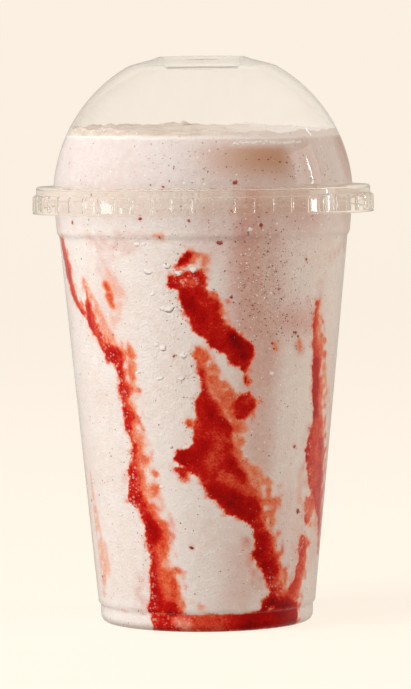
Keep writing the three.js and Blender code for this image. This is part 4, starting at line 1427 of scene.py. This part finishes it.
def drink_line():
    """The drink's section: over the cup's raised floor, up its side and level to the middle."""
    inset = WALL - REACH
    line = eased([
        (0, PUNT_HEIGHT + PUNT_CROWN + inset, 0),
        (PUNT_RADIUS - 0.1, PUNT_HEIGHT + inset, 0.8),
        (PUNT_RADIUS + PUNT_SLOPE - 0.1, inset, 0.5),
        (FOOT_RADIUS - FOOT_CORNER, inset, 0),
    ])
    # Close rows up the foot's rounded corner, then even rows up to the level
    heights = [inset + FOOT_ROW * k for k in range(1, 24)]
    heights += np.arange(FOOT_CORNER + 0.15, DRINK_LEVEL - 0.5, DRINK_ROW).tolist()
    heights.append(DRINK_LEVEL)
    line += [Vector((drink_side(h), h)) for h in heights]
    edge = drink_side(DRINK_LEVEL)
    line += [Vector((edge * (1 - k / TOP_RINGS), DRINK_LEVEL)) for k in range(1, TOP_RINGS + 1)]
    return line


def form_froth(drink):
    """Makes the drink's level top uneven, and lets it climb the wall a little at its edge."""
    edge = drink_side(DRINK_LEVEL)
    for vertex in drink.data.vertices:
        x, y, z = vertex.co / MM
        if z < DRINK_LEVEL - 0.4:
            continue
        reach = math.hypot(x, y)
        height = DRINK_LEVEL + froth_height(x, y)
        climb = max(reach - (edge - CLIMB), 0) / CLIMB
        height += climb ** 2 * (0.55 + 0.5 * noise.noise(Vector((x, y, 5)) * 0.4))
        share = min(drink_side(height) / edge, 1.02) if reach > edge * 0.9 else 1
        vertex.co = Vector((x * share, y * share, height)) * MM


class MILKSHAKE_OT_drink(bpy.types.Operator):
    """Make the body of milkshake with its uneven top"""

    bl_idname = "milkshake.drink"
    bl_label = "Milkshake"

    def execute(self, context):
        drink = turned("milkshake_body", drink_line(), DRINK_COLUMNS)
        form_froth(drink)
        smooth(drink, 60)
        add_fields(drink)
        finished(drink, drink_material(), "milkshake", "milkshake")
        return {"FINISHED"}


def sauce_patch(streak, thickness, material):
    """A streak of sauce with ragged edges, let into the drink's side behind the wall."""
    field = FIELDS[streak]
    near = field > -2 * SAUCE_HEM
    rows, columns = np.nonzero(near)
    middle = float(np.median(TURNS[columns]))
    spread = turn_gap(middle)[near.any(axis=0)]
    first, last = float(spread.min()) - 1, float(spread.max()) + 1
    bottom = max(float(HEIGHTS[rows].min()) - 0.5, SAUCE_FOOT)
    top = float(HEIGHTS[rows].max()) + 0.5
    radius = drink_side((bottom + top) / 2)
    across = int(math.radians(last - first) * radius / SAUCE_GRID)
    up = int((top - bottom) / SAUCE_GRID)
    deselect()
    bpy.ops.mesh.primitive_grid_add(x_subdivisions=across, y_subdivisions=up, size=1)
    patch = named(streak.replace("streak_", "") + "_run")
    weights = patch.vertex_groups.new(name="sauce")
    grid = np.array([v.co for v in patch.data.vertices])
    turns = middle + first + (grid[:, 0] + 0.5) * (last - first)
    heights = bottom + (grid[:, 1] + 0.5) * (top - bottom)
    inside = read_field(field, turns, heights)
    for vertex in patch.data.vertices:
        i = vertex.index
        weights.add([i], min(max(0.5 + 0.5 * (inside[i] + SAUCE_HEM), 0), 1), "REPLACE")
        swell = SAUCE_SWELL * min(max(inside[i], 0), 1)
        vertex.co = wall_spot(turns[i], heights[i], swell)
    modified(patch, "MASK", vertex_group="sauce", threshold=0.5, use_smooth=True)
    modified(patch, "SOLIDIFY", thickness=thickness, offset=-1)
    smooth(patch, 50)
    add_fields(patch)
    finished(patch, material, "sauce", streak)


class MILKSHAKE_OT_sauce(bpy.types.Operator):
    """Make the streaks of sauce and the pool of it in the foot"""

    bl_idname = "milkshake.sauce"
    bl_label = "Sauce"

    def execute(self, context):
        material = sauce_material()
        thickness = context.scene.milkshake_sizes.sauce_thickness
        for streak in (*SAUCE_RUNS, *BACK_STREAKS):
            sauce_patch(streak, thickness, material)
        return {"FINISHED"}


def fruit_placings(chance):
    """Bits of fruit: the ones that show, and more on the sides that the photo doesn't show."""
    placings = [loose_pip(chance, turn, height, 0, size, size * 0.85, FRUIT_THICKNESS)
                for turn, height, size in FRUIT_BITS]
    for _ in range(HIDDEN_FRUIT):
        size = mostly_small(chance, 0.25, 0.45, 2)
        placings.append(loose_pip(chance, chance.uniform(70, 300), chance.uniform(12, 142), 0,
                                  size, size * 0.85, FRUIT_THICKNESS))
    return placings


def dark_placings(chance):
    """Dark specks of berry skin, flatter one way than the other."""
    return [loose_pip(chance, turn, height, 0.02, size * 0.8, size * chance.uniform(0.5, 1),
                      SPECK_THICKNESS) for turn, height, size in SPECK_SPOTS]


def fleck_placings(chance):
    """Flecks of sauce beside the streaks, fewer and fewer away from them."""
    placings = []
    while len(placings) < FLECKS:
        turn, height = chance.uniform(-180, 180), chance.uniform(4, 116)
        gap = sauce_gap(turn, height)
        if -1.9 < gap < -0.2 and chance.random() < 1.1 + 0.55 * gap:
            size = mostly_small(chance, 0.07, 0.17, 2)
            placings.append(loose_pip(chance, turn, height, 0.02, size,
                                      size * chance.uniform(0.7, 1.3), SPECK_THICKNESS))
    return placings


def seed_placings(chance, count):
    """Seed specks: crowds of them, and a count more anywhere on the side."""
    spots = list(crowded(chance, SPECK_CROWDS))
    for _ in range(count):
        spots.append((chance.uniform(0, 360), 8 + 137 * chance.random() ** 0.7))
    placings = []
    for turn, height in spots:
        size = mostly_small(chance, 0.08, 0.2, 3)
        placings.append(loose_pip(chance, turn, height, 0.03, size,
                                  size * chance.uniform(0.6, 1.5), SPECK_THICKNESS))
    return placings


class MILKSHAKE_OT_bits(bpy.types.Operator):
    """Make the bits of fruit, the dark specks, the flecks of sauce and the seed specks"""

    bl_idname = "milkshake.bits"
    bl_label = "Fruit and seeds"

    def execute(self, context):
        chance = random.Random(11)
        colours = context.scene.milkshake_colours
        seed_count = context.scene.milkshake_sizes.seeds
        fruit = scattered("fruit_bits", fruit_placings(chance), rings=5, segments=12, ragged=0.9)
        finished(fruit, speck_material("fruit", colours.fruit, colours.dark_fruit, 0.4), "sauce")
        dark = scattered("dark_specks", dark_placings(chance), ragged=0.7)
        finished(dark, speck_material("dark_speck", colours.berry_skin, colours.clot, 0.5), "sauce")
        flecks = scattered("sauce_flecks", fleck_placings(chance), rings=2, segments=6, ragged=0.6)
        finished(flecks, speck_material("sauce_fleck", colours.sauce, colours.berry_skin, 0.4),
                 "sauce")
        seeds = scattered("seed_specks", seed_placings(chance, seed_count), rings=2, segments=6)
        finished(seeds, speck_material("seed", colours.seed, colours.dark_seed, 0.5), "sauce")
        return {"FINISHED"}


def wall_bubble_placings(chance):
    """The large bubbles that show one by one, and the row of them over the hollow's painted shade.
    """
    placings = [loose_pip(chance, turn, height, -0.05, size * 0.9,
                          size * chance.uniform(0.6, 0.85), 0.08)
                for turn, height, size in BUBBLE_SPOTS]
    turn = BEAD_ROW[0]
    while turn < BEAD_ROW[1]:
        size = chance.uniform(0.45, 0.7)
        placings.append(pip_placing(turn, BEAD_HEIGHT + chance.uniform(-0.3, 0.3), -0.05, size,
                                    size * 0.85, 0.16))
        turn += chance.uniform(1.1, 1.7)
    return placings


def small_bubble_placings(chance):
    """Small bubbles anywhere on bare drink, pale ones crowded there as painted glints, and ones
    along the streaks of sauce.
    """
    placings = []
    for _ in range(BUBBLE_TRIES):
        size = mostly_small(chance, 0.12, 0.3, 2)
        turn, height = chance.uniform(-180, 180), chance.uniform(8, 126)
        if read_field(FIELDS["amount"], turn, height) < BARE_DRINK:
            placings.append(pip_placing(turn, height, -0.03, size,
                                        size * chance.uniform(0.8, 1.1), 0.1))
    # Pale bubbles where the drops crowd, standing in for glints: painted highlights
    for turn, height in crowded(chance, DROP_CROWDS):
        size = mostly_small(chance, 0.11, 0.2, 3)
        if read_field(FIELDS["amount"], turn, height) < BARE_DRINK:
            placings.append(pip_placing(turn, height, -0.01, size, size, 0.09))
    while len(placings) < SMALL_BUBBLES:
        turn, height = chance.uniform(-180, 180), chance.uniform(6, 116)
        if -1.6 < sauce_gap(turn, height) < 0.4:
            size = chance.uniform(0.06, 0.14)
            placings.append(pip_placing(turn, height, 0, size, size, 0.05))
    return placings


def froth_bubble_placings(chance):
    """Bubbles in the froth, closer together towards its edge."""
    edge = drink_side(DRINK_LEVEL)
    placings = []
    for _ in range(FROTH_BUBBLES):
        turn = chance.uniform(0, math.tau)
        reach = edge * (1 - 0.5 * chance.random() ** 3) - 0.3
        x, y = reach * math.sin(turn), -reach * math.cos(turn)
        size = mostly_small(chance, 0.18, 0.4, 3)
        placing = Matrix.Diagonal((size * MM, size * MM, size * 0.5 * MM)).to_4x4()
        placing.translation = Vector((x, y, DRINK_LEVEL + froth_height(x, y))) * MM
        placings.append(placing)
    return placings


class MILKSHAKE_OT_bubbles(bpy.types.Operator):
    """Make the bubbles against the wall and in the froth"""

    bl_idname = "milkshake.bubbles"
    bl_label = "Bubbles"

    def execute(self, context):
        chance = random.Random(23)
        material = bubble_material()
        wall = scattered("wall_bubbles", wall_bubble_placings(chance), rings=4, segments=10,
                         ragged=0.5)
        finished(wall, material, "milkshake")
        small = scattered("small_bubbles_and_glints", small_bubble_placings(chance), rings=2)
        finished(small, material, "milkshake")
        froth = scattered("froth_bubbles", froth_bubble_placings(chance))
        finished(froth, material, "milkshake")
        return {"FINISHED"}


def drop_placings(chance, count):
    """Drops of water: crowds of them, and a count more anywhere on the cup's side."""
    spots = list(crowded(chance, DROP_CROWDS))
    for _ in range(count):
        spots.append((chance.uniform(0, 360), chance.uniform(8, 116)))
    placings = []
    for turn, height in spots:
        if DROP_SPAN[0] < height < DROP_SPAN[1]:
            size = mostly_small(chance, 0.09, 0.26, 3)
            placings.append(pip_placing(turn, height, WALL - REACH, size,
                                        size * chance.uniform(0.9, 1.2), size * 0.5))
    return placings


class MILKSHAKE_OT_drops(bpy.types.Operator):
    """Make the fine drops of water on the outside of the cup"""

    bl_idname = "milkshake.drops"
    bl_label = "Water drops"

    def execute(self, context):
        chance = random.Random(5)
        drop_count = context.scene.milkshake_sizes.drops
        water = scattered("water_drops", drop_placings(chance, drop_count))
        finished(water, water_material(), None)
        return {"FINISHED"}


# Each light: its name, turn, rise, distance and size in metres, power in watts, whether it is
# soft, and its tint. All face the middle of the cup.
CUP_MIDDLE = Vector((0, 0, 0.085))
LIGHTS = [
    ("key_soft", -62, 32, 1.1, (0.7, 0.8), 11.4, True),
    ("side_soft", 86, 18, 1.1, (0.35, 0.7), 4.4, True, (1, 0.9, 0.8)),
    ("table_glow", 1, -24, 0.27, (0.3, 0.1), 0.044, True, (1, 0.94, 0.9)),
    ("key_gleam", -66, 3.4, 1.1, (0.45, 0.1), 1.0, False),
    ("key_spark", -66, 3.4, 1.1, (0.05, 0.1), 1.3, False),
    ("rib_gleam", 78, 3.4, 1.1, (0.12, 0.09), 0.6, False),
    ("side_gleam", 92, 13, 1.1, (0.022, 0.37), 0.45, False),
    ("side_spark", 110.5, 31, 1.1, (0.02, 0.07), 0.08, False),
    ("side_haze", 89, 12, 1.1, (0.5, 0.6), 1.6, False),
]


def area_light(name, turn, rise, away, size, power, soft, tint=(1, 1, 1)):
    """A light that faces the cup: a soft one gives no gleam, and a gleam gives nothing else."""
    data = bpy.data.lights.new(name, "AREA")
    data.color = tint
    data.shape = "RECTANGLE"
    data.size, data.size_y = size
    data.energy = power
    light = bpy.data.objects.new(name, data)
    bpy.context.scene.collection.objects.link(light)
    a, up = math.radians(turn), math.radians(rise)
    light.location = CUP_MIDDLE + away * Vector(
        (math.sin(a) * math.cos(up), -math.cos(a) * math.cos(up), math.sin(up)))
    aim = CUP_MIDDLE - light.location
    light.rotation_mode = "QUATERNION"
    light.rotation_quaternion = aim.to_track_quat("-Z", "Y")
    light.visible_camera = False
    light.visible_glossy = not soft
    light.visible_diffuse = soft
    light.visible_transmission = False


def soft_room(colours):
    """Light from all round: pale behind the cup, and in reflections dark before it."""
    world = bpy.data.worlds.new("soft_room")
    world.use_nodes = True
    tree = world.node_tree
    path = node(tree, "ShaderNodeLightPath")
    way = node(tree, "ShaderNodeSeparateXYZ", {0: object_place(tree)}).outputs["Y"]
    seen = maths(tree, "MAXIMUM", path.outputs["Is Camera Ray"],
                 path.outputs["Is Transmission Ray"])
    behind = [ROOM_BEHIND * c for c in colours.backdrop]
    gleam = mixed(tree, ranged(tree, way, -0.3, 0.6), (*ROOM_FRONT, 1), (*behind, 1))
    colour = mixed(tree, path.outputs["Is Glossy Ray"], (*ROOM_FILL, 1), gleam)
    colour = mixed(tree, seen, colour, (*colours.backdrop, 1))
    tree.links.new(colour, tree.nodes["Background"].inputs["Color"])
    return world


def add_backdrop(tone):
    """A floor that bends up into a backdrop, which glows in its tone and casts no shadow."""
    sweep = turned("studio_sweep", eased([
        (0, 0, 0), (FLOOR_RADIUS, 0, 0), (BACKDROP_RADIUS, 0, BACKDROP_BEND),
        (BACKDROP_RADIUS, BACKDROP_RADIUS, 0)], steps=24), 96)
    smooth(sweep)
    material, _, _ = new_material(
        "pale_backdrop", Base_Color=(*(BACKDROP_TONE * c for c in tone), 1), Metallic=0.0,
        Roughness=0.9, Specular_IOR_Level=0.0, Emission_Color=(*tone, 1),
        Emission_Strength=BACKDROP_GLOW)
    sweep.data.materials.append(material)
    sweep.visible_diffuse = False
    sweep.visible_glossy = False
    sweep.visible_shadow = False


def add_camera(sizes):
    """The camera, placed and turned as the photo's was."""
    data = bpy.data.cameras.new("camera")
    data.sensor_width = 36
    data.lens = sizes.lens
    camera = bpy.data.objects.new("camera", data)
    bpy.context.scene.collection.objects.link(camera)
    camera.location = (sizes.camera_side, -sizes.camera_away, sizes.camera_height)
    camera.rotation_mode = "QUATERNION"
    level = Euler((math.pi / 2 - sizes.camera_pitch, 0, 0)).to_quaternion()
    camera.rotation_quaternion = level @ Quaternion((0, 0, 1), sizes.camera_roll)
    bpy.context.scene.camera = camera


class MILKSHAKE_OT_stage(bpy.types.Operator):
    """Make the floor, the backdrop, the lights and the camera"""

    bl_idname = "milkshake.stage"
    bl_label = "Stage"

    def execute(self, context):
        colours = context.scene.milkshake_colours
        add_backdrop(colours.backdrop)
        for light in LIGHTS:
            area_light(*light)
        context.scene.world = soft_room(colours)
        context.scene.view_settings.view_transform = "Standard"
        add_camera(context.scene.milkshake_sizes)
        return {"FINISHED"}


class MILKSHAKE_PT_panel(bpy.types.Panel):
    """Lists the sizes, the colours and the steps that build the milkshake"""

    bl_label = "Milkshake"
    bl_idname = "MILKSHAKE_PT_panel"
    bl_space_type = "VIEW_3D"
    bl_region_type = "UI"
    bl_category = "Milkshake"

    def draw(self, context):
        for group in (context.scene.milkshake_sizes, context.scene.milkshake_colours):
            column = self.layout.column()
            for key in group.__annotations__:
                column.prop(group, key)
        for step in STEPS:
            self.layout.operator(step.bl_idname)


STEPS = (MILKSHAKE_OT_stage, MILKSHAKE_OT_cup, MILKSHAKE_OT_lid, MILKSHAKE_OT_drink,
         MILKSHAKE_OT_sauce, MILKSHAKE_OT_bits, MILKSHAKE_OT_bubbles, MILKSHAKE_OT_drops)
CLASSES = (MilkshakeSizes, MilkshakeColours, *STEPS, MILKSHAKE_PT_panel)


def register():
    """Registers the classes and hangs the settings on the scene."""
    for cls in CLASSES:
        bpy.utils.register_class(cls)
    bpy.types.Scene.milkshake_sizes = bpy.props.PointerProperty(type=MilkshakeSizes)
    bpy.types.Scene.milkshake_colours = bpy.props.PointerProperty(type=MilkshakeColours)


def unregister():
    """Takes the settings and the classes away again."""
    del bpy.types.Scene.milkshake_colours
    del bpy.types.Scene.milkshake_sizes
    for cls in reversed(CLASSES):
        bpy.utils.unregister_class(cls)


def main():
    """Builds the whole milkshake."""
    register()
    make_groups(bpy.context.scene.milkshake_colours)
    make_fields()
    for step in STEPS:
        family, action = step.bl_idname.split(".")
        getattr(getattr(bpy.ops, family), action)()


if __name__ == "__main__":
    main()
